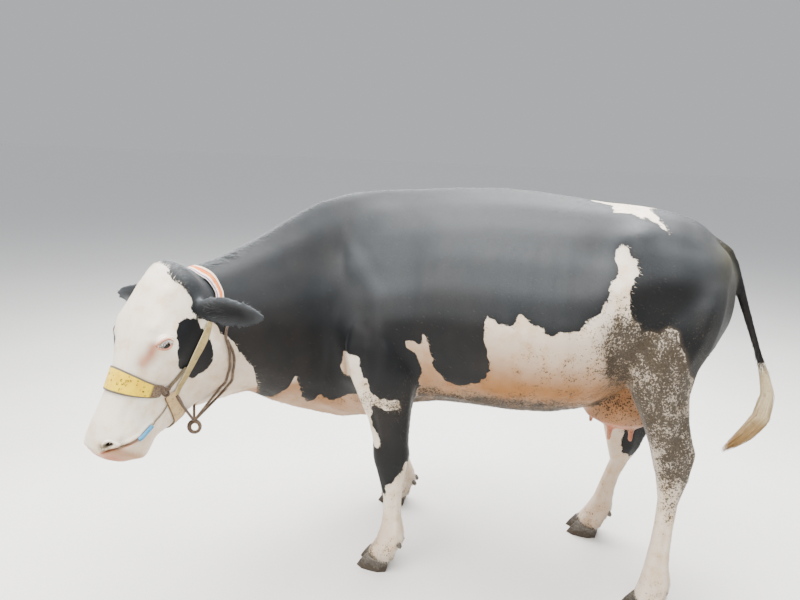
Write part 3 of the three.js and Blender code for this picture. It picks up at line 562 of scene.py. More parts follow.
def mouth_height(along):
    """How far up from the face line the mouth is."""
    return np.interp(along, [p[0] for p in MOUTH[::-1]], [p[2] for p in MOUTH[::-1]])


def slit_gap(gap):
    """How far outside the lids' edges a place is, seen from in front of the eye, and its height."""
    a = gap[:, 0] * math.cos(SLIT_TILT) + gap[:, 2] * math.sin(SLIT_TILT)
    b = gap[:, 2] * math.cos(SLIT_TILT) - gap[:, 0] * math.sin(SLIT_TILT)
    arch = np.clip(1 - (a / SLIT_HALF) ** 2, 0, 1)
    edge = np.where(b > 0, SLIT_ABOVE, SLIT_BELOW) * arch
    beyond = np.maximum(np.abs(a) - SLIT_HALF, 0)
    return np.hypot(np.abs(b) - edge, beyond) * np.sign(np.abs(b) - edge + beyond * 2), b


def lids(places, side):
    """Moves the skin round one eye into its lids. Returns how far from the slit each place is."""
    middle = np.array(EYE_PLACE) * (1, side, 1)
    gap = (places - middle) * (1, side, 1)
    far = np.linalg.norm(gap, axis=1)
    region = (far < EYE_REGION) & (gap[:, 1] > -0.004)
    f, b = slit_gap(gap)
    shell = EYE_RADIUS + LID_GAP
    reach = 0.5 * (far + shell + np.sqrt((far - shell) ** 2 + LID_BLEND**2))
    above = step(b, -0.004, 0.004)
    for share, creases in ((1, [LID_EDGE]), (above, UPPER_CREASES), (1 - above, LOWER_CREASES)):
        for place, width, rise in creases:
            reach += share * rise * bell(f, place, width)
    reach -= (shell + 0.0005 - (EYE_RADIUS - SLIT_SINK)) * (1 - step(f, -0.0022, 0.0004))
    blend = 1 - step(far, EYE_REGION - EYE_REGION_EDGE, EYE_REGION)
    blend *= step(gap[:, 1], -0.004, 0.006)
    moved = middle + (gap / np.maximum(far, 1e-6)[:, None] * reach[:, None]) * (1, side, 1)
    out = places.copy()
    out[region] = (places + blend[:, None] * (moved - places))[region]
    return out, np.where(region, f, 1.0)


def face_rise(places):
    """How far each place stands out from the smooth head, and its gaps to mouth and nostril."""
    outward = folded(places)
    rise = formed(outward, HEAD_FORMS, HEAD_LINES)
    mouth = line_gap(outward, MOUTH)
    upper = outward[:, 2] > mouth_height(outward[:, 0])
    rise += np.where(upper, UPPER_LIP_RISE, LOWER_LIP_RISE) * bell(mouth, 0.009, 0.006)
    rise -= MOUTH_DEPTH * bell(mouth, 0, MOUTH_WIDTH)
    gap = outward - np.array(NOSTRIL)
    long = unit(NOSTRIL_LONG)
    out = unit(np.cross(NOSTRIL_LONG, NOSTRIL_SHORT))
    s, t = gap @ long, gap @ np.cross(out, long)
    t = t - NOSTRIL_CURVE * s * s
    hole = np.hypot(s / NOSTRIL_HALF[0], t / NOSTRIL_HALF[1])
    near = np.linalg.norm(gap, axis=1) < NOSTRIL_REACH
    rise += near * NOSTRIL_RIM * bell(hole, 1.45, 0.35)
    rise -= near * NOSTRIL_DEPTH * (1 - step(hole, 0.45, 1.05))
    return rise, mouth, np.where(near, hole, 9.0)


# ---------------------------------------------------------------- markings

# White areas, by their outlines. On each side of the body: along the body and height.
WHITE_LEFT = [
    [(-0.33, 0.45), (-0.33, 0.77), (-0.32, 0.81), (-0.34, 0.86), (-0.372, 0.915), (-0.345, 0.908),
     (-0.315, 0.905), (-0.312, 0.94), (-0.29, 0.90), (-0.27, 0.83), (-0.23, 0.785), (-0.19, 0.77),
     (-0.13, 0.80), (-0.09, 0.82), (-0.10, 0.92), (-0.112, 0.98), (-0.11, 1.045), (-0.07, 1.02),
     (-0.03, 1.025), (-0.002, 1.055), (0.02, 1.03), (0.08, 1.00), (0.16, 1.02), (0.18, 1.04),
     (0.23, 1.09), (0.25, 1.14), (0.268, 1.19), (0.266, 1.255), (0.28, 1.27), (0.32, 1.24),
     (0.324, 1.21), (0.31, 1.15), (0.32, 1.08), (0.36, 1.01), (0.42, 1.02), (0.44, 1.05),
     (0.46, 1.03), (0.47, 0.98), (0.50, 0.94), (0.52, 0.89), (0.54, 0.86), (0.60, 0.82),
     (0.80, 0.80), (0.80, -0.1), (0.1, -0.1), (0.1, 0.3)],
    [(-0.60, 0.83), (-0.56, 0.862), (-0.53, 0.84), (-0.52, 0.80), (-0.48, 0.725), (-0.45, 0.70),
     (-0.40, 0.70), (-0.385, 0.672), (-0.43, 0.66), (-0.475, 0.665), (-0.487, 0.62), (-0.477, 0.57),
     (-0.455, 0.53), (-0.462, 0.49), (-0.50, 0.52), (-0.53, 0.65), (-0.553, 0.74), (-0.60, 0.745),
     (-0.62, 0.775)],
    [(-0.62, -0.1), (-0.62, 0.33), (-0.448, 0.33), (-0.432, 0.308), (-0.420, 0.356), (-0.405, 0.366),
     (-0.392, 0.382), (-0.378, 0.396), (-0.370, 0.440), (-0.28, 0.46), (-0.28, -0.1)],
]
WHITE_RIGHT = [
    [(-0.33, 0.45), (-0.34, 0.74), (-0.30, 0.80), (-0.25, 0.84), (-0.21, 0.94), (-0.15, 0.91),
     (-0.08, 0.80), (0.0, 0.77), (0.08, 0.80), (0.115, 0.90), (0.15, 1.02), (0.13, 1.12),
     (0.16, 1.20), (0.165, 1.27), (0.185, 1.36), (0.42, 1.36), (0.40, 1.29), (0.37, 1.21),
     (0.39, 1.12), (0.36, 1.02), (0.38, 0.92), (0.44, 0.86), (0.49, 0.88), (0.54, 0.82),
     (0.60, 0.84), (0.80, 0.80), (0.80, -0.1), (0.1, -0.1), (0.1, 0.3)],
    [(-0.63, 0.97), (-0.56, 1.04), (-0.50, 0.99), (-0.475, 0.90), (-0.50, 0.80), (-0.47, 0.70),
     (-0.52, 0.66), (-0.58, 0.72), (-0.64, 0.84)],
    [(-0.66, -0.1), (-0.66, 0.36), (-0.55, 0.35), (-0.515, 0.40), (-0.485, 0.36), (-0.455, 0.33),
     (-0.425, 0.37), (-0.28, 0.34), (-0.28, -0.1)],
]
# Over the back: along the body and across it.
WHITE_BACK = [(0.185, 0.40), (0.19, -0.015), (0.255, -0.022), (0.262, -0.10), (0.31, -0.105),
              (0.338, -0.145), (0.347, -0.12), (0.385, -0.150), (0.435, -0.205), (0.392, -0.12),
              (0.372, -0.05), (0.39, 0.0), (0.41, 0.10), (0.43, 0.40)]
BACK_HEIGHT = 1.27
# Under the neck: along it from the chest, and the height below which it is white.
THROAT_RUN = (0.30, 0.38, 0.455, 0.472, 0.484, 0.498, 0.513, 0.541, 0.555, 0.565, 0.600,
              0.628, 0.659, 0.668, 0.717, 0.75, 0.80, 0.849, 0.888, 0.924, 0.98)
THROAT_TOP = (0.75, 0.73, 0.70, 0.65, 0.61, 0.60, 0.62, 0.635, 0.610, 0.60, 0.64,
              0.70, 0.75, 0.69, 0.66, 0.67, 0.76, 0.85, 0.90, 0.95, 1.01)
# The white face: along the face and up from it.
FACE_WHITE = [(-0.10, 0.12), (-0.02, 0.03), (0.013, 0.019), (0.028, -0.029), (0.053, -0.059),
              (0.072, -0.073), (0.068, -0.147), (0.080, -0.23), (0.097, -0.289), (0.11, -0.36),
              (0.13, -0.50), (0.9, -0.5), (0.9, 0.12)]
CHEEK_LEFT = [(0.098, -0.064), (0.090, -0.10), (0.098, -0.140), (0.117, -0.182), (0.142, -0.215),
              (0.165, -0.228), (0.191, -0.226), (0.228, -0.199), (0.237, -0.180), (0.229, -0.126),
              (0.195, -0.087), (0.162, -0.054), (0.123, -0.050)]
CHEEK_RIGHT = [(0.060, 0.02), (0.060, -0.20), (0.10, -0.25), (0.17, -0.262), (0.235, -0.22),
               (0.262, -0.15), (0.240, -0.09), (0.255, -0.045), (0.232, -0.008), (0.19, 0.0),
               (0.15, -0.018), (0.10, 0.0)]
HOCK_PATCH = ((0.468, 0.175, 0.470), (0.046, 0.06, 0.078))  # black, on the right hind leg
TAIL_BLACK_END = 0.895
BELLY_WHITE = 0.71  # the height of the white under the belly
WIDE = 0.3  # a distance that is far from any edge
DARK_REACH = 0.06  # how far from an edge the field still changes


def outline_gap(a, b, corners):
    """The signed distance of points in a plane to an outline, positive inside."""
    best = np.full(len(a), np.inf)
    inside = np.zeros(len(a), dtype=bool)
    for (a0, b0), (a1, b1) in zip(corners, corners[1:] + corners[:1]):
        da, db = a1 - a0, b1 - b0
        share = np.clip(((a - a0) * da + (b - b0) * db) / (da * da + db * db), 0, 1)
        best = np.minimum(best, np.hypot(a - a0 - share * da, b - b0 - share * db))
        if b0 != b1:
            inside ^= ((b0 > b) != (b1 > b)) & (a < a0 + da * (b - b0) / db)
    return np.where(inside, best, -best)


def dark_field(places, part):
    """How deep each place lies inside the black of the coat, in metres; white is below zero."""
    x, y, z = places.T
    on_leg = part["fore"] | part["hind"]
    left = np.max([outline_gap(x, z, area) for area in WHITE_LEFT], axis=0)
    right = np.max([outline_gap(x, z, area) for area in WHITE_RIGHT], axis=0)
    white = np.where(y < 0, left, right)
    back = np.where(z > BACK_HEIGHT, outline_gap(x, y, WHITE_BACK), -WIDE)
    throat = np.interp(neck_run(places), THROAT_RUN, THROAT_TOP) - z
    throat = np.where(on_leg | (x > -0.33), -WIDE, throat * 0.8)
    belly = BELLY_WHITE - z - 2.0 * np.maximum(np.abs(y) - 0.16, 0)
    belly = np.where(on_leg | (x < -0.45), -WIDE, belly)
    white = np.max([white, back, throat, belly], axis=0)
    patch = np.linalg.norm((places - np.array(HOCK_PATCH[0])) / np.array(HOCK_PATCH[1]), axis=1)
    white = np.where(on_leg & (y > 0), np.minimum(white, (patch - 1) * 0.05), white)
    along, out, up = head_places(places).T
    face = outline_gap(along, up, FACE_WHITE)
    cheeks = [outline_gap(along, up, cheek) for cheek in (CHEEK_LEFT, CHEEK_RIGHT)]
    cheek = np.where(out > 0.02, *cheeks)
    face = np.minimum(face, -np.where(np.abs(out) > 0.03, cheek, -WIDE))
    white = np.where(part["head"], face, white)
    white = np.where(part["ear"], -0.03, white)
    ragged = 0.017 * cloud(places, 0.034) + 0.010 * cloud(places * (0.5, 1.0, 0.4), 0.011, 2)
    white = white + np.where(part["head"], 0.6, 1.0) * ragged
    dark = -np.clip(white, -DARK_REACH, DARK_REACH)
    dark = np.where(part["tail"], np.clip(z - TAIL_BLACK_END, -DARK_REACH, DARK_REACH), dark)
    return np.where(part["udder"], -0.05, dark)


# ---------------------------------------------------------------- the skin



def ear_frame(side):
    """The root of an ear, the way out along it, across its blade, and out of its hollow."""
    droop, back, twist = EAR_SETS[side]
    root = in_head(EAR_ROOT[0], side * EAR_ROOT[1], EAR_ROOT[2])
    out = unit(side * LEFTWARD - back * FACE - droop * DORSAL)
    blade = unit(upright - (upright @ out) * out)
    blade = blade * math.cos(twist) + np.cross(out, blade) * math.sin(twist)
    hollow = unit(np.cross(out, blade))
    return root, out, blade, hollow if hollow @ ahead > 0 else -hollow


def ear_places(places, side):
    """Places on one ear: how far out they are (0 to 1), across its blade (-1 to 1), and above it."""
    root, out, blade, hollow = ear_frame(side)
    gap = places - root
    run = gap @ out / EAR_LENGTH
    gap = gap + upright * (EAR_SAG * run**2)[:, None]
    half = EAR_WIDTH / 2 * np.interp(run, EAR_SHARES, EAR_HALVES)
    return run, gap @ blade / half, gap @ hollow


def cupped(places, normals, on_ear):
    """How far the skin of the ears is moved to deepen their hollows behind the upper rim."""
    moved = np.zeros_like(places)
    for side in (1, -1):
        here = on_ear & (head_places(places)[:, 1] * side > 0)
        run, across, _ = ear_places(places, side)
        hollow = ear_frame(side)[3]
        inside = here * step(normals @ hollow, 0.15, 0.6)
        bowl = np.clip(1 - ((across + 0.22) / 0.66) ** 2, 0, 1)
        bowl *= step(run, 0.08, 0.25) * (1 - step(run, 0.55, 0.80))
        rim = bell(across, 0.62, 0.16) * step(run, 0.1, 0.3)
        moved -= (inside * (EAR_BOWL * bowl - EAR_RIM * rim))[:, None] * hollow
    return moved


def parts_of(owner):
    """For each region of the body, which vertices belong to it."""
    node = np.array(FLESH, dtype=object)[owner]
    return {
        "head": np.isin(node, ["head", "eye_left", "eye_right"]),
        "neck": node == "neck",
        "trunk": node == "trunk",
        "tail": node == "tail",
        "udder": node == "udder",
        "ear": np.isin(node, ["ear_left", "ear_right"]),
        "fore": np.isin(node, [n for n in FLESH if "fore" in n]),
        "hind": np.isin(node, [n for n in FLESH if "hind" in n]),
    }


def blotches(places, rows):
    """The sum of soft spots. Each row is a strength, a middle and the radii."""
    total = np.zeros(len(places))
    for strength, middle, radii in rows:
        total += swell(places, middle, radii, strength)
    return total


# Mud on both sides, and painted shade at the belly's edge: how strong it is, the middle (with y as the
# distance out) and the radii.
MUD_AND_SHADE_ON_SIDES = [
    (1.00, (0.46, 0.27, 0.88), (0.080, 0.11, 0.130)),  # thigh
    (0.75, (0.37, 0.27, 0.85), (0.060, 0.11, 0.130)),  # stifle
    (1.00, (0.37, 0.28, 0.99), (0.095, 0.11, 0.070)),
    (0.55, (0.26, 0.31, 0.96), (0.060, 0.11, 0.100)),  # flank
    (0.90, (0.49, 0.25, 0.69), (0.080, 0.11, 0.120)),
    (0.65, (0.540, 0.22, 0.52), (0.055, 0.09, 0.110)),  # hock
    (0.90, (0.555, 0.22, 1.07), (0.020, 0.09, 0.040)),
    (0.46, (0.20, 0.33, 0.87), (0.150, 0.11, 0.070)),
    # dirt and painted shade at the edge of the belly
    (1.40, (0.02, 0.21, 0.685), (0.320, 0.14, 0.045)),  # edge of the belly
]
MUD_AND_SHADE = []
for side in (LEFT, RIGHT):
    MUD_AND_SHADE += [(share, (x, side * y, z), radii) for share, (x, y, z), radii in MUD_AND_SHADE_ON_SIDES]
MUD_AND_SHADE += [
    # dirt and painted shade under the belly
    (1.30, (0.00, 0.0, 0.64), (0.42, 0.19, 0.07)),  # under the belly
    (0.45, (0.36, -0.14, 0.70), (0.080, 0.06, 0.060)),  # udder
]
PASTERN_TAN = [
    (0.55, (-0.46, -0.215, 0.13), (0.045, 0.05, 0.07)),
    (0.55, (-0.49, 0.215, 0.15), (0.05, 0.05, 0.09)),
]
RUMP_STAINS = [
    (0.9, (0.610, -0.10, 1.235), (0.035, 0.07, 0.050)),
    (0.7, (0.590, 0.12, 1.20), (0.035, 0.06, 0.060)),
]
TAIL_STAIN = [(0.6, (0.66, 0.0, 1.18), (0.04, 0.05, 0.08))]
FACE_DIRT = [  # in the head's frame, by the left nostril and lip
    (3.0, (0.504, 0.040, -0.073), (0.0055, 0.0055, 0.006)),
    (2.0, (0.498, 0.054, -0.080), (0.010, 0.008, 0.0055)),
    (0.8, (0.478, 0.070, -0.095), (0.016, 0.02, 0.007)),
]
# Dust and painted sheen on the hair that faces up: how much, and the slopes between which it begins and is
# full.
DUST_AND_SHEEN = {
    "trunk": [(0.30, 0.02, 0.42), (-0.10, 0.55, 0.95)],
    "neck": [(0.20, 0.02, 0.42), (0.22, 0.55, 0.95)],
    "hind": [(0.24, 0.02, 0.35)],
}
# how many times each field is averaged with its neighbours
FIELD_SPREAD = {"dust_and_sheen": 40, "dark": 2, "tan": 14, "mud_and_shade": 8, "stain": 4, "bare": 2, "wet": 0, "pit_shade": 0}


def tan_and_shade_field(places, at, part):
    """How far the white hair is browned by stains and by painted warm shade that grows downward: the belly,
    hind legs, throat, chin and cheek.
    """
    x, y, z = places.T
    along, up = at[:, 0], at[:, 2]
    body = part["trunk"] | part["hind"] | part["udder"]
    # painted warm shade: more towards the bottom of the body
    tan = np.where(body, 0.25 + 0.80 * (1 - step(z, 0.76, 1.10)), 0.0)
    tan = np.where(part["fore"], 0.25, tan)
    hind = (0.35 + 0.25 * (y > 0)) * (1 - 0.6 * step(z, 0.95, 1.10))
    tan = np.where(part["hind"], hind, tan)
    # painted warm shade, growing towards the bottom of the neck and strongest under the chest
    tan = np.where(part["neck"], 0.35 + 0.5 * (1 - step(z, 0.62, 0.80)), tan)
    under = (x < -0.35) & (z < 0.72) & (part["trunk"] | part["neck"])
    tan = np.where(under, 0.95, tan)
    chin = step(along, 0.38, 0.43) * step(mouth_height(along) - up, 0.0, 0.008)
    chin *= 0.28 + 0.72 * step(along, 0.475, 0.497)
    tear = 0.6 * bell(line_gap(at, TEAR), 0, 0.020)
    # painted warm shade on the lower cheek and under the jaw
    cheek = 0.22 * step(along, 0.19, 0.23) * (1 - step(along, 0.29, 0.34)) * step(-up, 0.05, 0.10)
    jaw = 0.40 * step(-up, 0.12, 0.30)
    tan = np.where(part["head"], 0.03 + np.max([chin, tear, cheek, jaw], axis=0), tan)
    return tan + part["fore"] * blotches(places, PASTERN_TAN)


def mud_and_shade_field(places, part, dark):
    """How muddy each place is, with painted shade under the belly; less of it clings to the black hair."""
    z = places[:, 2]
    legs = part["fore"] | part["hind"]
    mud_and_shade = np.maximum(blotches(places, MUD_AND_SHADE), legs * (0.13 + 0.50 * (1 - step(z, 0.02, 0.18))))
    mud_and_shade = np.where(part["udder"], np.minimum(mud_and_shade + 0.25 * (z > 0.64), 0.75), mud_and_shade)
    mud_and_shade = mud_and_shade * (0.72 + 0.75 * cloud(places * (1.0, 1.0, 0.7), 0.085, 3))
    return np.clip(mud_and_shade, 0, 1) * (1 - 0.70 * step(dark, -0.004, 0.010))


def dust_and_sheen_field(places, at, part, dark, normals):
    """How greyed the black hair is, dusted and with painted sheen: on the back, crest and poll, and outside
    the ears.
    """
    up = normals[:, 2]
    dust_and_sheen = 0.30 * part["head"] * (1 - step(at[:, 0], 0.05, 0.10)) * step(up, -0.1, 0.5)
    for name, rows in DUST_AND_SHEEN.items():
        for strength, low, high in rows:
            dust_and_sheen += part[name] * strength * step(up, low, high)
    for side in (1, -1):
        _, across, _ = ear_places(places, side)
        outside = 0.50 * (1 - step(normals @ ear_frame(side)[3], 0.0, 0.5))
        here = part["ear"] & (at[:, 1] * side > 0)
        dust_and_sheen += here * np.maximum(outside, 0.60 * step(across, 0.30, 0.80))
    return dust_and_sheen * step(dark + 0.06 * part["ear"], 0.0, 0.006)


def skin_fields(places, at, part, normals, mouth, hole, slit):
    """What the materials read at each vertex. `at` gives the places in the head's frame."""
    along, up = at[:, 0], at[:, 2]
    dark = dark_field(places, part)
    stain = blotches(places, RUMP_STAINS) + part["trunk"] * blotches(places, TAIL_STAIN)
    stain = np.where(part["head"], blotches(at, FACE_DIRT), stain)
    udder = np.where(part["udder"], 0.15 + 0.80 * (1 - step(places[:, 2], 0.605, 0.665)), 0.0)
    planum = 0.55 * step(along, 0.512, 0.526) * step(up, -0.110, -0.092) * part["head"]
    lips = (1 - step(mouth, 0.003, 0.009)) * step(along, 0.40, 0.43)
    lower_lip = 0.04 + 0.16 * step(along, 0.480, 0.500) + 0.50 * step(along, 0.508, 0.520)
    lower_lip *= step(mouth_height(along) - up, 0.0, 0.004) * step(along, 0.40, 0.45)
    tear = 0.80 * bell(line_gap(at, TEAR), 0, 0.013)
    rim = 0.9 * (1 - step(slit, 0.0020, 0.0075)) * np.where(at[:, 1] > 0, 1.0, 0.35)
    bare = part["head"] * np.max([planum, lips, lower_lip, tear, rim], axis=0)
    return {
        "dust_and_sheen": dust_and_sheen_field(places, at, part, dark, normals),
        "dark": dark,
        "tan": np.clip(tan_and_shade_field(places, at, part), 0, 1),
        "mud_and_shade": mud_and_shade_field(places, part, dark),
        "stain": np.clip(stain, 0, 1),
        "bare": np.maximum(udder, bare),
        "wet": part["head"] * np.maximum(planum, 0.7 * (1 - step(slit, 0.0, 0.003))),
        # painted shade inside the nostrils and along the mouth's slit
        "pit_shade": part["head"] * np.maximum(1 - step(hole, 0.5, 0.95), 1 - step(mouth, 0.0, 0.0022)),
    }


def refined(mesh):
    """Splits the muzzle's mesh once more, and the eyes', mouth's and nostrils' twice more."""
    for whole_muzzle, eye_reach in ((True, 0.048), (False, 0.036)):
        outward = folded(head_places(places_of(mesh)))
        chosen = np.linalg.norm(outward - np.array(EYE_PLACE), axis=1) < eye_reach
        if whole_muzzle:
            chosen |= (outward[:, 0] > 0.39) & (outward[:, 0] < 0.60) & (outward[:, 2] > -0.25)
        chosen |= line_gap(outward, MOUTH) < 0.010
        chosen |= np.linalg.norm(outward - np.array(NOSTRIL), axis=1) < 0.026
        finer(mesh, chosen)


def build_skin(material):
    """One skin for all of the flesh, with its parts, its neighbours and its fields."""
    cad, owners = joined_nodes(FLESH, CUT_CLOSING)
    tree = tree_of(cad)
    mesh, near = skin_base(cad, tree, owners)
    without_specks(mesh, near)
    refined(mesh)
    places = places_of(mesh)
    part = parts_of(owners_of(places, tree, owners))
    near = Neighbours(mesh)
    normals = unit(near.diffused(normals_of(mesh), 0.5, 4))
    head = near.diffused(part["head"].astype(float), 0.5, 10)
    facing, mouth, hole = face_rise(head_places(places))
    legs = {which: part[which] for which in ("fore", "hind")}
    plain = part["ear"] | part["tail"] | part["udder"]
    rise = body_rise(places, legs) * (1 - head) * ~plain + facing * head
    depth = COAT_DEPTH + (FACE_COAT_DEPTH - COAT_DEPTH) * step(head, 0.5, 1.0)
    depth = np.where(part["ear"], EAR_COAT_DEPTH, depth)
    places = places + normals * (rise - depth)[:, None] + cupped(places, normals, part["ear"])
    at = head_places(places)
    slit = np.full(len(at), 1.0)
    for side in (1, -1):
        at, gap = lids(at, side)
        slit = np.minimum(slit, gap)
    places = np.where((head > 0.3)[:, None], from_head(at), places)
    move_places(mesh, places)
    fields = skin_fields(places, at, part, normals, mouth, hole, slit)
    for name, rounds in FIELD_SPREAD.items():
        fields[name] = near.diffused(fields[name], 0.5, rounds)
        set_field(mesh, name, fields[name])
    return new_object("skin", mesh, material), part, near, fields


# ---------------------------------------------------------------- materials


def paint(code):
    """A colour from its usual six digits."""
    parts = [int(code[i : i + 2], 16) / 255 for i in (0, 2, 4)]
    return tuple(c / 12.92 if c <= 0.04045 else ((c + 0.055) / 1.055) ** 2.4 for c in parts) + (1.0,)


class Look:
    """A material made of nodes."""

    def __init__(self, name, **settings):
        self.material = bpy.data.materials.new(name)
        self.material.use_nodes = True
        self.tree = self.material.node_tree
        self.shader = self.tree.nodes["Principled BSDF"]
        for socket, value in settings.items():
            self.shader.inputs[socket.replace("_", " ")].default_value = value
        self.places = self.node("ShaderNodeTexCoord").outputs["Object"]

    def node(self, kind, inputs=(), **settings):
        made = self.tree.nodes.new(kind)
        for key, value in settings.items():
            setattr(made, key, value)
        for key, value in dict(inputs).items():
            self.feed(made.inputs[key], value)
        return made

    def feed(self, socket, value):
        if isinstance(value, bpy.types.NodeSocket):
            self.tree.links.new(value, socket)
        else:
            socket.default_value = value

    def field(self, name):
        return self.node("ShaderNodeAttribute", attribute_name=name).outputs["Fac"]

    def stretched(self, scale):
        inputs = {"Vector": self.places, "Scale": scale}
        return self.node("ShaderNodeMapping", inputs).outputs["Vector"]

    def noise(self, scale, detail=3.0, rough=0.55, vector=None):
        inputs = {"Vector": vector or self.places, "Scale": scale, "Detail": detail}
        inputs["Roughness"] = rough
        return self.node("ShaderNodeTexNoise", inputs).outputs["Fac"]

    def maths(self, operation, *values):
        made = self.node("ShaderNodeMath", operation=operation)
        for socket, value in zip(made.inputs, values):
            self.feed(socket, value)
        return made.outputs[0]

    def times(self, a, b):
        return self.maths("MULTIPLY", a, b)

    def plus(self, a, b):
        return self.maths("ADD", a, b)

    def scaled(self, value, scale, start):
        return self.maths("MULTIPLY_ADD", value, scale, start)

    def length(self, a, b):
        return self.maths("SQRT", self.plus(self.times(a, a), self.times(b, b)))

    def rise(self, value, low, high, to_low=0.0, to_high=1.0):
        inputs = {"Value": value, "From Min": low, "From Max": high, "To Min": to_low, "To Max": to_high}
        made = self.node("ShaderNodeMapRange", inputs, interpolation_type="SMOOTHSTEP")
        return made.outputs["Result"]

    def mix(self, share, a, b):
        made = self.node("ShaderNodeMix", data_type="RGBA")
        colours = [s for s in made.inputs if s.type == "RGBA"]
        self.feed(made.inputs["Factor"], share)
        self.feed(colours[0], a)
        self.feed(colours[1], b)
        return [s for s in made.outputs if s.type == "RGBA"][0]

    def bump(self, height, strength, distance, normal=None):
        inputs = {"Height": height, "Strength": strength, "Distance": distance}
        if normal:
            inputs["Normal"] = normal
        return self.node("ShaderNodeBump", inputs).outputs["Normal"]

    def finish(self, colour, roughness=None, normal=None):
        self.feed(self.shader.inputs["Base Color"], colour)
        if roughness is not None:
            self.feed(self.shader.inputs["Roughness"], roughness)
        if normal is not None:
            self.feed(self.shader.inputs["Normal"], normal)
        return self.material


BLACK_HAIR, BLACK_WORN = paint("0e0f11"), paint("1f1b18")
WHITE_HAIR, WHITE_WORN = paint("f4ead9"), paint("e6cfae")
# The yellow-brown colour stands for stained hair and for painted warm shade low on the body.
TAN_SOIL_AND_SHADE, PINK_SKIN, PINK_PALE = paint("8f5f2e"), paint("ab664c"), paint("c48b6c")
MUD_DARK, MUD_PALE, MUD_DRY, DUNG = paint("14100b"), paint("40372b"), paint("655848"), paint("4d451e")
# The greying colour is for dusty hair and for painted sheen on black hair that faces up.
# The pit colour is painted shade inside the nostrils and the mouth's slit.
PIT_SHADE, DUST_AND_SHEEN_GREY = paint("1c1210"), paint("63686c")
BLACK_STRAND, WHITE_STRAND = paint("1d1e21"), paint("cdb9a3")
# The tufts' lighter tone is painted sheen on the lit crest, back and ears.
TUFT_SHADE, TUFT_SHEEN_GREY = paint("8a847c"), paint("74787b")


def coat_look(name, on_tuft=False):
    """The skin with its short hair, or the tufts on it: both carry the same fields."""
    look = Look(name, Specular_IOR_Level=0.18, Sheen_Weight=0.03, Sheen_Roughness=0.40)
    hair = look.stretched((60, 260, 190))
    strand = look.noise(6.0, 3.0, 0.6, hair)
    broad = look.noise(3.2, 4.0)
    blot = look.noise(22.0, 4.0, 0.6)
    speck = look.noise(150.0, 4.0, 0.65)
    ragged = look.scaled(look.noise(38.0, 4.0, 0.6), 0.016, -0.008)
    fringe = look.noise(9.0, 2.0, 0.5, look.stretched((22, 60, 14)))
    fringe = look.scaled(fringe, 0.009, -0.0045)
    depth = look.plus(look.plus(look.field("dark"), ragged), fringe)
    black = look.rise(depth, -0.0016, 0.0016)
    dark_hair = look.mix(look.rise(broad, 0.42, 0.70), BLACK_HAIR, BLACK_WORN)
    dark_hair = look.mix(look.rise(strand, 0.45, 0.75), dark_hair, BLACK_STRAND)
    light_hair = look.mix(look.rise(blot, 0.40, 0.75), WHITE_HAIR, WHITE_WORN)
    light_hair = look.mix(look.rise(strand, 0.55, 0.25, 0.0, 0.35), light_hair, WHITE_STRAND)
    # browning of the white hair, which also carries painted warm shade low on the body
    tan_and_shade_share = look.times(look.field("tan"), look.rise(broad, 0.25, 0.70, 0.75, 1.0))
    light_hair = look.mix(tan_and_shade_share, light_hair, TAN_SOIL_AND_SHADE)
    coat = look.mix(black, light_hair, dark_hair)
    pink = look.mix(look.rise(blot, 0.35, 0.7), PINK_SKIN, PINK_PALE)
    coat = look.mix(look.field("bare"), coat, pink)
    # muddy hair, and painted shade under the belly
    mud_and_shade = look.field("mud_and_shade")
    grain = look.noise(7.0, 3.0, 0.65, look.stretched((34, 60, 26)))
    clods = look.plus(look.times(speck, 0.45), look.times(blot, 0.25))
    clods = look.scaled(grain, 0.30, clods)
    level = look.scaled(mud_and_shade, -0.150, 0.600)
    muddy = look.rise(look.maths("SUBTRACT", clods, level), -0.015, 0.025)
    muddy = look.times(muddy, look.rise(mud_and_shade, 0.03, 0.14))
    mud_colour = look.mix(look.rise(grain, 0.40, 0.70), MUD_DARK, MUD_PALE)
    dusty = look.times(look.rise(mud_and_shade, 0.25, 0.95), 0.52)
    coat = look.mix(dusty, coat, MUD_DRY)
    coat = look.mix(look.times(muddy, 0.90), coat, mud_colour)
    stain = look.times(look.field("stain"), look.rise(clods, 0.30, 0.62))
    coat = look.mix(look.times(stain, 0.85), coat, DUNG)
    # painted shade in the nostrils and the mouth's slit
    coat = look.mix(look.field("pit_shade"), coat, PIT_SHADE)
    # greyed by dusty hair and by painted sheen where the hair faces up
    faded = look.times(look.field("dust_and_sheen"), look.rise(strand, 0.25, 0.70, 0.45, 1.0))
    coat = look.mix(faded, coat, DUST_AND_SHEEN_GREY)
    if on_tuft:
        coat = look.mix(look.rise(look.field("shade"), 0.3, 1.0, 0.0, 0.16), coat, TUFT_SHADE)
        # painted sheen on the lit tufts
        coat = look.mix(look.field("sheen_grey"), coat, TUFT_SHEEN_GREY)
    rough = look.mix(look.field("wet"), (0.50, 0.50, 0.50, 1), (0.34, 0.34, 0.34, 1))
    normal = look.bump(strand, 0.35, 0.0012)
    normal = look.bump(blot, 0.15, 0.004, normal)
    cobble = look.node("ShaderNodeTexVoronoi", {"Vector": look.places, "Scale": 260.0}).outputs["Distance"]
    cobbled = look.times(cobble, look.field("wet"))
    normal = look.bump(cobbled, 0.5, 0.0010, normal)
    normal = look.bump(look.times(muddy, clods), 0.6, 0.004, normal)
    return look.finish(coat, rough, normal)


# ---------------------------------------------------------------- studio

CAMERA_PLACE = (0.0, -2.145, 1.53)
CAMERA_TURN = math.radians(12)
CAMERA_DOWN = math.radians(14)
CAMERA_ROLL = math.radians(2.4)
CAMERA_LENS, SENSOR_WIDTH = 27.0, 36.0
FLOOR_REACH = 80.0


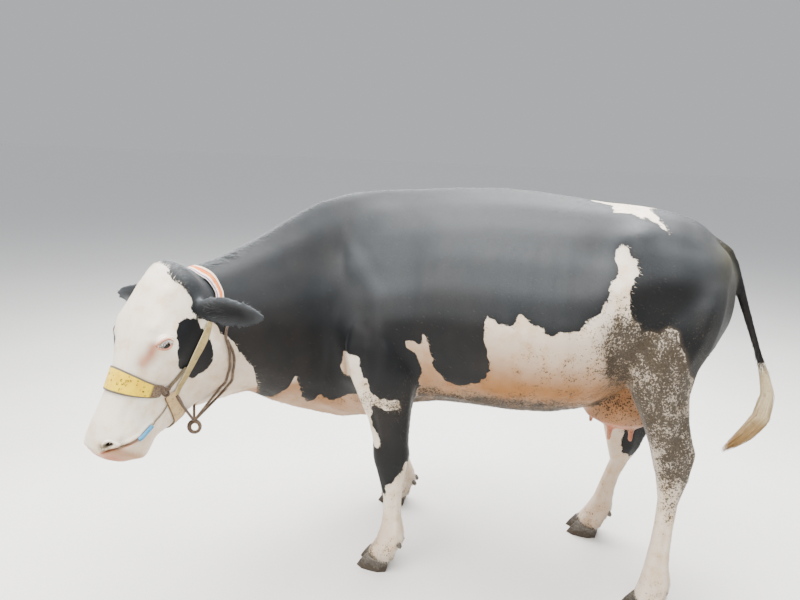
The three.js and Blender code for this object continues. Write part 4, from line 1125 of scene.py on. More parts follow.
def camera_in_place():
    forward = np.array([-math.sin(CAMERA_TURN), math.cos(CAMERA_TURN), 0.0])
    right = np.array([math.cos(CAMERA_TURN), math.sin(CAMERA_TURN), 0.0])
    look_at = forward * math.cos(CAMERA_DOWN) - upright * math.sin(CAMERA_DOWN)
    over = forward * math.sin(CAMERA_DOWN) + upright * math.cos(CAMERA_DOWN)
    across = math.cos(CAMERA_ROLL) * right + math.sin(CAMERA_ROLL) * over
    above = math.cos(CAMERA_ROLL) * over - math.sin(CAMERA_ROLL) * right
    data = bpy.data.cameras.new("camera")
    data.lens = CAMERA_LENS
    data.sensor_width = SENSOR_WIDTH
    camera = bpy.data.objects.new("camera", data)
    turn = Matrix([across, above, -look_at]).transposed().to_4x4()
    camera.matrix_world = Matrix.Translation(Vector(np.array(CAMERA_PLACE) + SHIFT)) @ turn
    bpy.context.scene.collection.objects.link(camera)
    bpy.context.scene.camera = camera


def soft_light(name, place, aim, width, height, power, tint):
    data = bpy.data.lights.new(name, "AREA")
    data.shape = "RECTANGLE"
    data.size, data.size_y = width, height
    data.energy = power
    data.color = tint
    lamp = bpy.data.objects.new(name, data)
    lamp.location = Vector(np.array(place) + SHIFT)
    lamp.rotation_euler = (Vector(aim) - Vector(place)).to_track_quat("-Z", "Y").to_euler()
    bpy.context.scene.collection.objects.link(lamp)


def studio():
    world = bpy.data.worlds.new("studio")
    world.use_nodes = True
    world.node_tree.nodes["Background"].inputs["Color"].default_value = paint("eef1f4")
    world.node_tree.nodes["Background"].inputs["Strength"].default_value = 0.60
    bpy.context.scene.world = world
    look = Look("floor_paint", Specular_IOR_Level=0.2)
    tone = look.mix(look.rise(look.noise(1.3, 5.0), 0.3, 0.7), paint("dddbd6"), paint("e3e1dc"))
    distance = look.node("ShaderNodeVectorMath", {0: look.places}, operation="LENGTH").outputs["Value"]
    tone = look.mix(look.rise(distance, 2.5, 9.0), tone, paint("fdfdfd"))
    look.finish(tone, 0.75, look.bump(look.noise(60.0), 0.05, 0.002))
    corners = [(-FLOOR_REACH, -FLOOR_REACH, 0), (FLOOR_REACH, -FLOOR_REACH, 0),
               (FLOOR_REACH, FLOOR_REACH, 0), (-FLOOR_REACH, FLOOR_REACH, 0)]
    floor = new_object("floor", mesh_from("floor", corners, [(0, 1, 2, 3)]), look.material)
    soft_light("sky", (-0.3, 0.9, 3.6), (0.0, 0.0, 0.9), 4.6, 3.6, 760, (0.98, 0.99, 1.0))
    soft_light("above", (-0.4, -1.9, 4.4), (0.0, -0.2, 0.9), 4.6, 2.6, 330, (1.0, 0.98, 0.95))
    soft_light("front", (-2.9, -3.2, 2.4), (-0.7, -0.4, 0.8), 2.2, 2.0, 95, (1.0, 0.97, 0.93))


# ---------------------------------------------------------------- eyes

BALL_RADIUS = 0.0205
CORNEA_HALF, CORNEA_RISE = 0.0125, 0.0012
PUPIL_HALF = (0.0085, 0.0050)
EYE_AIM = (0.22, 1.0, 0.16)  # which way an eye looks, in the head's frame
BALL_RINGS, BALL_SIDES = 26, 40


def eyeballs(material):
    """Both eyes: a ball with the clear bulge in front, and its own places for the iris."""
    places, faces, across, over = [], [], [], []
    for side in (1, -1):
        middle = np.array(EYE_PLACE) * (1, side, 1)
        out = unit(np.array(EYE_AIM) * (1, side, 1))
        along = unit(np.array([math.cos(SLIT_TILT), 0, math.sin(SLIT_TILT)]))
        along = unit(along - (along @ out) * out)
        above = np.cross(out, along) * side
        start = len(places)
        for ring in range(1, BALL_RINGS):
            turn = math.pi * ring / BALL_RINGS
            wide = BALL_RADIUS * math.sin(turn)
            bulge = CORNEA_RISE * max(0.0, 1 - (wide / CORNEA_HALF) ** 2) if turn < math.pi / 2 else 0.0
            for k in range(BALL_SIDES):
                spin = 2 * math.pi * k / BALL_SIDES
                a, b = wide * math.cos(spin), wide * math.sin(spin)
                places.append(middle + a * along + b * above + (BALL_RADIUS * math.cos(turn) + bulge) * out)
                across.append(a if turn < math.pi / 2 else 1.0)
                over.append(b if turn < math.pi / 2 else 1.0)
        rings = np.arange(start, len(places)).reshape(BALL_RINGS - 1, BALL_SIDES)
        faces += lofted(rings, closed=True)
    mesh = mesh_from("eyes", from_head(np.array(places)), faces)
    facing_out(mesh)
    set_field(mesh, "across", across)
    set_field(mesh, "over", over)
    return new_object("eyes", mesh, material)


def lofted(rings, closed=False):
    """Faces between rings of vertex numbers, with both ends closed if asked."""
    ahead_of = np.roll(rings, -1, axis=1)
    faces = []
    for a, b, c, d in zip(rings[:-1], ahead_of[:-1], ahead_of[1:], rings[1:]):
        faces += np.stack([a, b, c, d], axis=1).tolist()
    if closed:
        faces += [rings[0][::-1].tolist(), rings[-1].tolist()]
    return faces


def eye_look():
    look = Look("eye", Roughness=0.25, Coat_Weight=0.15, Coat_Roughness=0.05, Specular_IOR_Level=0.2)
    across, over = look.field("across"), look.field("over")
    wide = look.maths("DIVIDE", across, PUPIL_HALF[0])
    tall = look.maths("DIVIDE", over, PUPIL_HALF[1])
    pupil = look.length(wide, tall)
    radius = look.length(across, over)
    fibres = look.noise(900.0, 3.0)
    iris = look.mix(look.rise(fibres, 0.35, 0.7), paint("160c08"), paint("2a1910"))
    iris = look.mix(look.rise(radius, 0.0100, 0.0135), iris, paint("120c0a"))
    white = look.mix(look.rise(look.noise(240.0, 4.0), 0.45, 0.7), paint("c9bdb0"), paint("a98374"))
    ball = look.mix(look.rise(radius, 0.0145, 0.0160), iris, white)
    ball = look.mix(look.rise(pupil, 1.08, 0.92), ball, paint("07080c"))
    return look.finish(ball)


# ---------------------------------------------------------------- claws

CLAW_VOXEL, DEWCLAW_VOXEL = 0.0022, 0.0014
CLAW_ROUNDS, DEWCLAW_ROUNDS = 10, 8  # of smoothing
SOLE_BAND = 0.0035  # what is this low on a claw lies on its flat sole
CLAW_INSET = 0.0008
RING_PITCH = 0.0055  # growth rings on the horn
RING_DEPTH = 0.0006
CORONET = 0.066
FEET = [f"{pair}_{side}" for pair in ("fore", "hind") for side in ("left", "right")]


def claws(kind, voxel, rounds, material):
    """The eight claws or dewclaws, rounded, with growth rings, on the CAD's own soles."""
    nodes = [f"{kind}_{foot}_{place}" for foot in FEET for place in ("inner", "outer")]
    cad, _ = joined_nodes(nodes, 0.0)
    mesh = remeshed(cad, voxel)
    places = places_of(mesh)
    near = Neighbours(mesh)
    soft = near.diffused(places, 0.5, rounds)
    soft = soft + near.diffused(places - soft, 0.5, rounds)
    normals = near.diffused(normals_of(mesh), 0.5, 3)
    x, y, z = soft.T
    slope = z + 0.22 * x + 0.002 * np.sin(40 * x + 31 * y)
    wall = step(z, 0.004, 0.012) * (1 - step(np.abs(normals[:, 2]), 0.80, 0.95))
    rise = RING_DEPTH * np.sin(2 * math.pi * slope / RING_PITCH) * wall - CLAW_INSET
    soft = soft + unit(normals) * rise[:, None]
    floor = places[:, 2].min()
    if kind == "claw":
        on_sole = places[:, 2] < floor + SOLE_BAND
        soft[:, 2] = np.where(on_sole, floor, np.maximum(soft[:, 2], floor))
    move_places(mesh, soft)
    set_field(mesh, "height", soft[:, 2])
    piece = new_object(kind + "s", mesh, material)
    shown_as(piece, nodes)


def horn_look():
    look = Look("horn", Specular_IOR_Level=0.4)
    lines = look.noise(8.0, 4.0, 0.6, look.stretched((55, 55, 6)))
    bands = look.noise(10.0, 3.0, 0.5, look.stretched((3, 3, 40)))
    horn = look.mix(look.rise(lines, 0.35, 0.7), paint("3b3733"), paint("615950"))
    horn = look.mix(look.rise(bands, 0.45, 0.75, 0.0, 0.6), horn, paint("7f7668"))
    height = look.field("height")
    wet = look.scaled(height, -9.0, 0.62)
    caked = look.plus(look.noise(85.0, 5.0, 0.65), wet)
    caked = look.rise(caked, 0.72, 0.98)
    horn = look.mix(look.times(caked, 0.85), horn, paint("3d342a"))
    rough = look.mix(caked, (0.42, 0.42, 0.42, 1), (0.85, 0.85, 0.85, 1))
    normal = look.bump(lines, 0.25, 0.0012)
    normal = look.bump(look.times(caked, look.noise(160.0, 4.0)), 0.6, 0.003, normal)
    return look.finish(horn, rough, normal)


# ---------------------------------------------------------------- halter

HEAD_CORE = 0.120  # the paths go round a line this far below the face line
REACH = 0.26
STRAP_THICKNESS = 0.0028
STRAP_CLEARANCE = 0.0030  # the straps lie on the hair
CROWN_CLEARANCE = 0.0045
LIFT_OFF = 0.075  # how far outside the skin the search for it starts
ACROSS = 9  # vertices across a strap
LEVEL_ROUNDS = 6  # of smoothing a strap's height over the skin
ROPE_RADIUS, KNOT_RADIUS, CORD_RADIUS, SLEEVE_RADIUS = 0.0045, 0.0048, 0.0024, 0.0062
ROPE_CLEARANCE, CORD_CLEARANCE = 0.0035, 0.0015
ROPE_STEP, CORD_STEP = 0.0018, 0.0015
# sides, strands, and how far a strand runs in one turn round the rope
ROPE_MAKE, KNOT_MAKE, CORD_MAKE = (14, 3, 0.026), (12, 3, 0.024), (12, 3, 0.012)
WEAVE_PITCH, WEFT_TURN = 0.0022, 34.0
BAND_BLUR = 0.05  # of a coloured band's edges, as a share of half the strap's width
# Each row is the distance along the face in millimetres, degrees round the head, and the width.
NOSEBAND = [(306, -96, 36), (318, -72, 44), (327, -34, 62), (330, 0, 70), (327, 34, 62), (318, 72, 44),
            (306, 96, 36)]
CHIN_HALF = [(304, 118, 40), (322, 136, 44), (348, 154, 46), (372, 168, 46)]
CHIN_MIDDLE = (380, 180, 46)
CHEEK_STRAP = [(300, 130, 16), (249, 121, 20), (217, 113, 24), (183, 108, 28), (156, 107, 31),
               (123, 107, 32), (95, 106, 28), (69, 105, 24)]
LOWER_STRAP = [(288, 107, 12), (264, 108, 12), (238, 106, 12), (216, 104, 11)]
CROWN_HALF = [(62, 108, 22), (24, 111, 24), (-16, 111, 27), (-38, 100, 28), (-55, 74, 34), (-58, 36, 36)]
CROWN_MIDDLE = (-58, 0, 26)
CORD_REAR = [(330, 126), (368, 126), (401, 118.6)]
CORD_FRONT = [(452.5, 99), (475, 84), (494, 70)]
CORD_SLEEVE = [(404, 118), (428, 109), (450, 100)]
THROAT_ROPE = [(4, 128), (40, 130), (79, 133), (114, 142), (141, 147), (179, 153), (225, 161)]
THROAT_ROPE_LOOSE = [(88, 136), (114, 145), (145, 151), (183, 157), (225, 165)]
JAW_ROPE = [(300, 128), (320, 146)]
RING_PLACE = (0.345, 0.048, -0.312)
RING_RADIUS = 0.019
RING_FACING = (0.2, -1.0, 0.3)
KNOT_PLACE, KNOT_SIZE = (302, 103), (0.030, 0.022, 0.036)


def mirrored(path):
    return [(row[0], -row[1]) + tuple(row[2:]) for row in path]


def curve_through(rows, count):
    """A smooth curve through rows of numbers, evenly stepped from row to row."""
    rows = np.asarray(rows, dtype=float)
    padded = np.vstack([2 * rows[0] - rows[1], rows, 2 * rows[-1] - rows[-2]])
    where = np.linspace(0, len(rows) - 1, count)
    k = np.minimum(where.astype(int), len(rows) - 2)
    t = (where - k)[:, None]
    a, b, c, d = (padded[k + i] for i in range(4))
    square, cube = 2 * a - 5 * b + 4 * c - d, 3 * b - a - 3 * c + d
    return 0.5 * (2 * b + (c - a) * t + square * t**2 + cube * t**3)


def skin_hit(start, direction):
    """Where a ray meets the skin, and the skin's normal there."""
    hit = skin_tree.ray_cast(Vector(start + SHIFT), Vector(direction))
    return np.array(hit[0]) - SHIFT, np.array(hit[1])


def place_round(along, degrees):
    """The skin so far along the face and so far round it: place, normal and way out."""
    turn = math.radians(degrees)
    out = math.sin(turn) * LEFTWARD + math.cos(turn) * DORSAL
    place, normal = skin_hit(in_head(along / 1000, 0, -HEAD_CORE) + REACH * out, -out)
    return place, normal, out


def draped(path, count, clearance):
    """Where a path round the head lies on the skin, which way is out there, and its widths."""
    rows = curve_through(path, count)
    places, outs = [], []
    for along, degrees in rows[:, :2]:
        place, normal, out = place_round(along, degrees)
        places.append(place + clearance * out)
        outs.append(unit(out + normal))
    return np.array(places), np.array(outs), rows[:, 2:] / 1000


def strap(name, path, count, material, clearance=STRAP_CLEARANCE):
    """A flat strap that lies on the skin, with rounded edges."""
    middles, outs, widths = draped(path, count, 0.0)
    travel = unit(np.gradient(middles, axis=0))
    sides = unit(np.cross(travel, outs))
    outs = np.cross(sides, travel)
    shares = np.linspace(-1, 1, ACROSS)
    inner = np.zeros((count, ACROSS, 3))
    for i in range(count):
        for k, share in enumerate(shares):
            start = middles[i] + sides[i] * share * widths[i, 0] / 2 + outs[i] * LIFT_OFF
            inner[i, k] = skin_hit(start, -outs[i])[0]
    height = ((inner - middles[:, None]) * outs[:, None]).sum(axis=2)
    level = height.copy()
    for _ in range(LEVEL_ROUNDS):
        padded = np.pad(level, 1, mode="edge")
        level = (padded[:-2, 1:-1] + padded[2:, 1:-1] + padded[1:-1, :-2] + padded[1:-1, 2:]) / 4
    height = np.maximum(height, level) + clearance
    inner = middles[:, None] + sides[:, None] * (shares[None, :, None] * widths[:, None] / 2)
    inner = inner + outs[:, None] * height[:, :, None]
    thick = STRAP_THICKNESS * (1 - 0.45 * np.abs(shares) ** 6)
    outer = inner + outs[:, None] * thick[None, :, None]
    rings = np.concatenate([inner, outer[:, ::-1]], axis=1)
    numbers = np.arange(rings.shape[0] * rings.shape[1]).reshape(rings.shape[:2])
    mesh = mesh_from(name, rings.reshape(-1, 3), lofted(numbers, closed=True))
    facing_out(mesh)
    set_field(mesh, "run", np.repeat(run_of(middles), 2 * ACROSS))
    set_field(mesh, "share", np.tile(np.concatenate([shares, shares[::-1]]), count))
    piece = new_object(name, mesh, material)
    smooth = piece.modifiers.new("smooth", "SUBSURF")
    smooth.levels = smooth.render_levels = 1
    shown_as(piece, [name])


def tube(points, radius, sides, strands, lay):
    """Places, faces and runs of a rope whose strands wind round it."""
    points = np.asarray(points, dtype=float)
    travel = unit(np.gradient(points, axis=0))
    side = unit(np.cross(travel[0], (0.3, 0.5, 0.81)))
    run = run_of(points)
    turns = 2 * math.pi * np.arange(sides) / sides
    rings = []
    for point, ahead_here, gone in zip(points, travel, run):
        side = unit(side - (side @ ahead_here) * ahead_here)
        other = np.cross(ahead_here, side)
        wound = turns - 2 * math.pi * gone / lay
        wide = radius * (0.80 + 0.20 * np.abs(np.cos(0.5 * strands * wound)))
        across, over = wide * np.cos(turns), wide * np.sin(turns)
        rings.append(point + across[:, None] * side + over[:, None] * other)
    numbers = np.arange(len(points) * sides).reshape(len(points), sides)
    return np.concatenate(rings), lofted(numbers, closed=True), np.repeat(run, sides)


def joined_tubes(name, tubes, material):
    """One piece of several ropes."""
    places, faces, runs = [], [], []
    for tube_places, tube_faces, run in tubes:
        start = sum(len(p) for p in places)
        places.append(tube_places)
        faces += [[v + start for v in face] for face in tube_faces]
        runs.append(run)
    mesh = mesh_from(name, np.concatenate(places), faces)
    facing_out(mesh)
    set_field(mesh, "run", np.concatenate(runs))
    set_field(mesh, "share", np.zeros(len(mesh.vertices)))
    shown_as(new_object(name, mesh, material), [name])


def evenly(points, pitch):
    """Points along a line, evenly spaced."""
    points = np.asarray(points)
    run = run_of(points)
    where = np.linspace(0, run[-1], max(int(run[-1] / pitch), 4))
    return np.stack([np.interp(where, run, points[:, k]) for k in range(3)], axis=1)


def knot_path(side):
    """A trefoil of rope on the cheek."""
    along, degrees = KNOT_PLACE
    middle, _, out = place_round(along, side * degrees)
    around = np.cross(out, FACE)
    t = np.linspace(0, 2 * math.pi, 150)
    a = (np.sin(t) + 2 * np.sin(2 * t)) / 3
    b = (np.cos(t) - 2 * np.cos(2 * t)) / 3
    c = -np.sin(3 * t)
    half = np.array(KNOT_SIZE) / 2
    return (middle + (0.007 + 0.004 * c)[:, None] * out + (a * half[0] * 0.8)[:, None] * FACE
            + (b * half[2] * 0.8)[:, None] * around)


def woven(look, run, share):
    """The height of a plain weave over a strap."""
    warp = look.maths("SINE", look.times(run, 2 * math.pi / WEAVE_PITCH))
    weft = look.maths("SINE", look.times(share, WEFT_TURN))
    return look.times(warp, weft)


def webbing_look(name, ground, worn, soil, **bands):
    """A woven strap. `bands` gives colours for strips of its width: (from, to, colour)."""
    look = Look(name, Specular_IOR_Level=0.3, Sheen_Weight=0.15)
    run, share = look.field("run"), look.field("share")
    weave = woven(look, run, share)
    patchy = look.noise(38.0, 5.0, 0.6)
    colour = look.mix(look.rise(patchy, 0.35, 0.75), paint(ground), paint(worn))
    wobble = look.scaled(look.noise(60.0), 0.12, -0.06)
    place = look.plus(share, wobble)
    for low, high, tone in bands.values():
        begun = look.rise(place, low - BAND_BLUR, low + BAND_BLUR)
        not_over = look.rise(place, high + BAND_BLUR, high - BAND_BLUR)
        colour = look.mix(look.times(begun, not_over), colour, paint(tone))
    # darker where the weave lies low: painted shade in its hollows, in the soil colour
    colour = look.mix(look.rise(weave, -0.2, -1.0, 0.0, 0.35), colour, paint(soil))
    grime = look.rise(look.noise(95.0, 5.0, 0.65), 0.52, 0.72, 0.0, 0.75)
    look.colour = look.mix(grime, colour, paint(soil))
    look.normal = look.bump(patchy, 0.2, 0.002, look.bump(weave, 0.5, 0.0006))
    return look


def webbing(name, *tones, rough=0.75, **bands):
    look = webbing_look(name, *tones, **bands)
    return look.finish(look.colour, rough, look.normal)


NOSEBAND_MIDDLE = 0.150  # half the length of its run


def noseband_look():
    """Yellow webbing with a scatter of small dark flecks and a dark bound edge."""
    look = webbing_look("noseband", "ffd900", "f2c000", "6b5212")
    run, share = look.field("run"), look.field("share")
    grid = look.node("ShaderNodeCombineXYZ", {"X": run, "Y": look.times(share, 0.024)}).outputs[0]
    cells = look.node("ShaderNodeTexVoronoi", {"Vector": grid, "Scale": 92.0, "Randomness": 0.75})
    fleck = look.rise(cells.outputs["Distance"], 0.36, 0.24)
    shape = look.rise(look.noise(260.0, 2.0, 0.5, look.stretched((1.0, 2.4, 1.0))), 0.44, 0.56)
    fleck = look.times(fleck, shape)
    inside = look.rise(look.maths("ABSOLUTE", share), 0.80, 0.70)
    colour = look.mix(look.times(fleck, inside), look.colour, paint("33240c"))
    edge = look.rise(look.maths("ABSOLUTE", share), 0.80, 0.86)
    colour = look.mix(edge, colour, paint("5f574c"))
    from_middle = look.maths("ABSOLUTE", look.maths("SUBTRACT", run, NOSEBAND_MIDDLE))
    tied = look.mix(look.rise(look.noise(240.0), 0.4, 0.6), paint("7b6650"), paint("4d3a2c"))
    colour = look.mix(look.rise(from_middle, 0.112, 0.122), colour, tied)
    return look.finish(colour, 0.72, look.normal)


def rope_look(name, tone, dark, pale):
    look = Look(name, Specular_IOR_Level=0.25, Sheen_Weight=0.2)
    fibres = look.noise(420.0, 4.0, 0.6)
    colour = look.mix(look.rise(fibres, 0.35, 0.7), paint(dark), paint(tone))
    faded = look.rise(look.noise(60.0, 4.0), 0.52, 0.72, 0.0, 0.6)
    colour = look.mix(faded, colour, paint(pale))
    return look.finish(colour, 0.85, look.bump(fibres, 0.6, 0.0010))


def halter():
    """The straps, ropes, knots and cords, laid on the skin."""
    cheek = webbing("cheek_webbing", "b39d62", "977f4b", "5c482c",
                    edge=(-1.2, -0.82, "cdbd92"), rim=(0.80, 1.2, "5a4630"))
    pale = webbing("lower_webbing", "76664a", "5f5038", "41362a", edge=(0.65, 1.2, "8d7b58"))
    chin = webbing("chin_webbing", "c7a878", "a98a5c", "6b5236", rough=0.8,
                   low=(-1.2, -0.84, "6b5034"), high=(0.84, 1.2, "6b5034"))
    crown = webbing("crown_webbing", "f08a30", "ea6a14", "b06a40",
                    rim=(-1.2, -0.80, "f2ece2"), inner=(-0.80, -0.56, "5d4a8c"),
                    white=(-0.56, -0.18, "f4ecde"), line=(0.42, 0.56, "b5452c"),
                    outer=(0.56, 1.2, "ead6bc"))
    rope = rope_look("rope", "6f5a48", "3f3128", "8d7a62")
    cord = rope_look("cord", "94856b", "5f523f", "ab9c80")
    sleeve = rope_look("cord_sleeve", "4f9cc4", "37789f", "7db6d2")
    strap("noseband", NOSEBAND, 61, noseband_look())
    far_half = [(along, 360 - turn, wide) for along, turn, wide in CHIN_HALF[::-1]]
    strap("chin_strap", CHIN_HALF + [CHIN_MIDDLE] + far_half, 49, chin)
    for side, mirror in (("left", list), ("right", mirrored)):
        strap(f"cheek_strap_{side}", mirror(CHEEK_STRAP), 41, cheek)
        strap(f"lower_strap_{side}", mirror(LOWER_STRAP), 33, pale)
    over = CROWN_HALF + [CROWN_MIDDLE] + mirrored(CROWN_HALF)[::-1]
    strap("crown_strap", over, 81, crown, CROWN_CLEARANCE)
    ring = in_head(*RING_PLACE)
    ropes = []
    for path in (THROAT_ROPE, mirrored(THROAT_ROPE), THROAT_ROPE_LOOSE, JAW_ROPE):
        on_skin = draped(path, 24, ROPE_RADIUS + ROPE_CLEARANCE)[0]
        hanging = curve_through(np.vstack([on_skin, ring]), 120)
        ropes.append(tube(evenly(hanging, ROPE_STEP), ROPE_RADIUS, *ROPE_MAKE))
    facing = unit(RING_FACING)
    across = unit(np.cross(facing, upright))
    down = np.cross(across, facing)
    turns = np.linspace(0, 2 * math.pi, 90)
    for size, offset in ((RING_RADIUS, 0.0), (0.78 * RING_RADIUS, 0.0075)):
        spin = np.cos(turns)[:, None] * across + np.sin(turns)[:, None] * down
        hoop = ring - upright * RING_RADIUS + size * spin + offset * (facing - 0.5 * across)
        ropes.append(tube(hoop, ROPE_RADIUS, *ROPE_MAKE))
    joined_tubes("halter_rope", ropes, rope)
    for side, sign in (("left", 1), ("right", -1)):
        knot = tube(evenly(knot_path(sign), ROPE_STEP), KNOT_RADIUS, *KNOT_MAKE)
        joined_tubes(f"knot_{side}", [knot], rope)
    for name, path, radius, look in (
        ("cord_rear", CORD_REAR, CORD_RADIUS, cord),
        ("cord_front", CORD_FRONT, CORD_RADIUS, cord),
        ("cord_sleeve", CORD_SLEEVE, SLEEVE_RADIUS, sleeve),
    ):
        on_skin = draped(path, 40, radius + CORD_CLEARANCE)[0]
        joined_tubes(name, [tube(evenly(on_skin, CORD_STEP), radius, *CORD_MAKE)], look)


# ---------------------------------------------------------------- tufts

PATCH_HALF = 0.0015  # half the size of each tuft's patch on the unwrap
BODY_BACK, BODY_FRONT = 0.90, -1.25
BODY_CORE = 0.98  # the height of the line that the body is unwrapped round


class Ground:
    """The skin as tufts need it: its faces, which way is out, and what grows where."""

    def __init__(self):
        mesh = skin.data
        mesh.calc_loop_triangles()
        corners = np.empty(len(mesh.loop_triangles) * 3, dtype=np.int32)
        mesh.loop_triangles.foreach_get("vertices", corners)
        self.faces = corners.reshape(-1, 3)
        self.places = places_of(mesh)
        a, b, c = (self.places[self.faces[:, k]] for k in range(3))
        self.areas = np.linalg.norm(np.cross(b - a, c - a), axis=1) / 2
        self.normals = unit(near.diffused(normals_of(mesh), 0.5, 6))
        self.head = head_places(self.places)
        self.lie = unit(near.diffused(self.lying(), 0.5, 30))
        self.unwrap = self.unwrapped()
        self.growth = (1 - np.clip(fields["bare"], 0, 1)) ** 3 * (1 - fields["pit_shade"])

    def lying(self):
        """Which way the hair points at each vertex, before it is laid along the skin."""
        lie = np.tile([0.93, 0.0, -0.36], (len(self.places), 1))
        lie[part["neck"]] = (0.66, 0.56, -0.42)
        lie[part["udder"]] = (0.1, 0.0, -1.0)
        lie[part["fore"] | part["hind"]] = (0.30, 0.0, -0.95)
        under = (self.normals[:, 2] < -0.4) & part["trunk"]
        lie[under] = (1.0, 0.0, 0.1)
        nose = part["head"] & (self.head[:, 0] > 0.12)
        lie[nose] = FACE - 0.15 * DORSAL
        lie[part["head"] & ~nose] = 0.45 * upright - 0.75 * FACE
        lie[part["ear"]] = np.sign(self.head[part["ear"], 1])[:, None] * LEFTWARD - 0.35 * upright
        lie[part["tail"]] = (0.15, 0.0, -1.0)
        return lie

    def unwrapped(self):
        """The skin cut open and laid flat: the body round its length, the head and legs apart."""
        x, y, z = self.places.T
        across = y - np.where(part["neck"], np.interp(x, (-1.05, -0.45), (-0.60, 0.0)), 0.0)
        turn = np.arctan2(across, z - BODY_CORE) / (2 * math.pi) + 0.5
        u = 0.02 + 0.96 * (x - BODY_FRONT) / (BODY_BACK - BODY_FRONT)
        v = 0.47 + 0.51 * turn
        along, out, up = self.head.T
        face_turn = np.arctan2(out, up + HEAD_CORE) / (2 * math.pi) + 0.5
        u = np.where(part["head"], 0.02 + 0.38 * face_turn, u)
        v = np.where(part["head"], 0.02 + 0.38 * np.clip((along + 0.12) / 0.72, 0, 1), v)
        for number, (pair, side) in enumerate((p, s) for p in ("fore", "hind") for s in (LEFT, RIGHT)):
            chosen = part[pair] & (y * side > 0)
            middle = -0.44 if pair == "fore" else 0.50
            leg_turn = np.arctan2(x - middle, np.abs(y) - 0.21) / (2 * math.pi) + 0.5
            u = np.where(chosen, 0.43 + 0.14 * number + 0.13 * leg_turn, u)
            v = np.where(chosen, 0.02 + 0.38 * np.clip(z / 1.25, 0, 1), v)
        small = part["ear"] | part["tail"] | part["udder"]
        start = np.select([part["ear"] & (out > 0), part["ear"], part["tail"]], [0.02, 0.26, 0.50], 0.74)
        lengths = [np.abs(out) / 0.45, (1.35 - z) / 0.5]
        length = np.select([part["ear"], part["tail"]], lengths, (x + 0.1) / 0.8)
        u = np.where(small, start + 0.22 * np.clip(length, 0, 1), u)
        v = np.where(small, 0.42 + 0.03 * np.clip(0.5 + self.normals[:, 0] / 2, 0, 1), v)
        return np.stack([u, v], axis=1)

    def sown(self, density):
        """Roots at random on the skin: how many to a square metre is given at each vertex."""
        density = density * self.growth
        share = density[self.faces].mean(axis=1) * self.areas
        chosen = np.repeat(np.arange(len(share)), rng.poisson(share))
        a, b = rng.random((2, len(chosen)))
        over = a + b > 1
        a, b = np.where(over, 1 - a, a), np.where(over, 1 - b, b)
        weights = np.stack([1 - a - b, a, b], axis=1)
        corners = self.faces[chosen]
        vertex = corners[np.arange(len(corners)), weights.argmax(axis=1)]
        place = (self.places[corners] * weights[:, :, None]).sum(axis=1)
        normal = unit((self.normals[corners] * weights[:, :, None]).sum(axis=1))
        return place, normal, vertex


def blades(place, normal, lie, length, width, lifted, fanned, steps=2, sink=0.0015, settle=0.55):
    """Thin closed blades of hair: rings of three corners and a tip, from root to tip."""
    count = len(place)
    lie = unit(lie - (lie * normal).sum(axis=1, keepdims=True) * normal)
    side = np.cross(normal, lie)
    turn = (fanned * rng.normal(size=count))[:, None]
    lie, side = lie * np.cos(turn) + side * np.sin(turn), side * np.cos(turn) - lie * np.sin(turn)
    lift = np.radians(np.clip(lifted * rng.normal(1.0, 0.28, count), 1.0, 75.0))
    length = (length * rng.uniform(0.75, 1.2, count))[:, None]
    width = (width * rng.uniform(0.75, 1.25, count))[:, None]
    places, outs = [], []
    for k in range(steps + 1):
        t = k / steps
        middle = place + normal * (length * (np.sin(lift) * (t - settle * t * t))[:, None] - sink * (1 - t))
        middle = middle + lie * (length * t * np.cos(lift)[:, None])
        if k == steps:
            places.append(middle)
            outs.append(unit(normal + 0.2 * lie))
            break
        half = width / 2 * (1 - 0.75 * t**1.6)
        places += [middle - side * half, middle + side * half, middle + normal * half * 0.7]
        outs += [unit(normal - 0.45 * side), unit(normal + 0.45 * side), normal]
    return np.stack(places, axis=1), np.stack(outs, axis=1), steps


def blade_faces(count, steps):
    """The triangles of so many blades, and where each corner of one blade lies on its patch."""
    faces = [(0, 2, 1)]
    for k in range(steps - 1):
        for a, b in ((0, 1), (1, 2), (2, 0)):
            low, high = 3 * k, 3 * k + 3
            faces += [(low + a, low + b, high + b), (low + a, high + b, high + a)]
    last = 3 * (steps - 1)
    faces += [(last, last + 1, 3 * steps), (last + 1, last + 2, 3 * steps), (last + 2, last, 3 * steps)]
    corners = 3 * steps + 1
    faces = np.array(faces)[None] + corners * np.arange(count)[:, None, None]
    patch = [(x, 2 * k / steps - 1) for k in range(steps) for x in (-1, 1, 0)] + [(0, 1)]
    return faces.reshape(-1, 3), np.array(patch) * PATCH_HALF


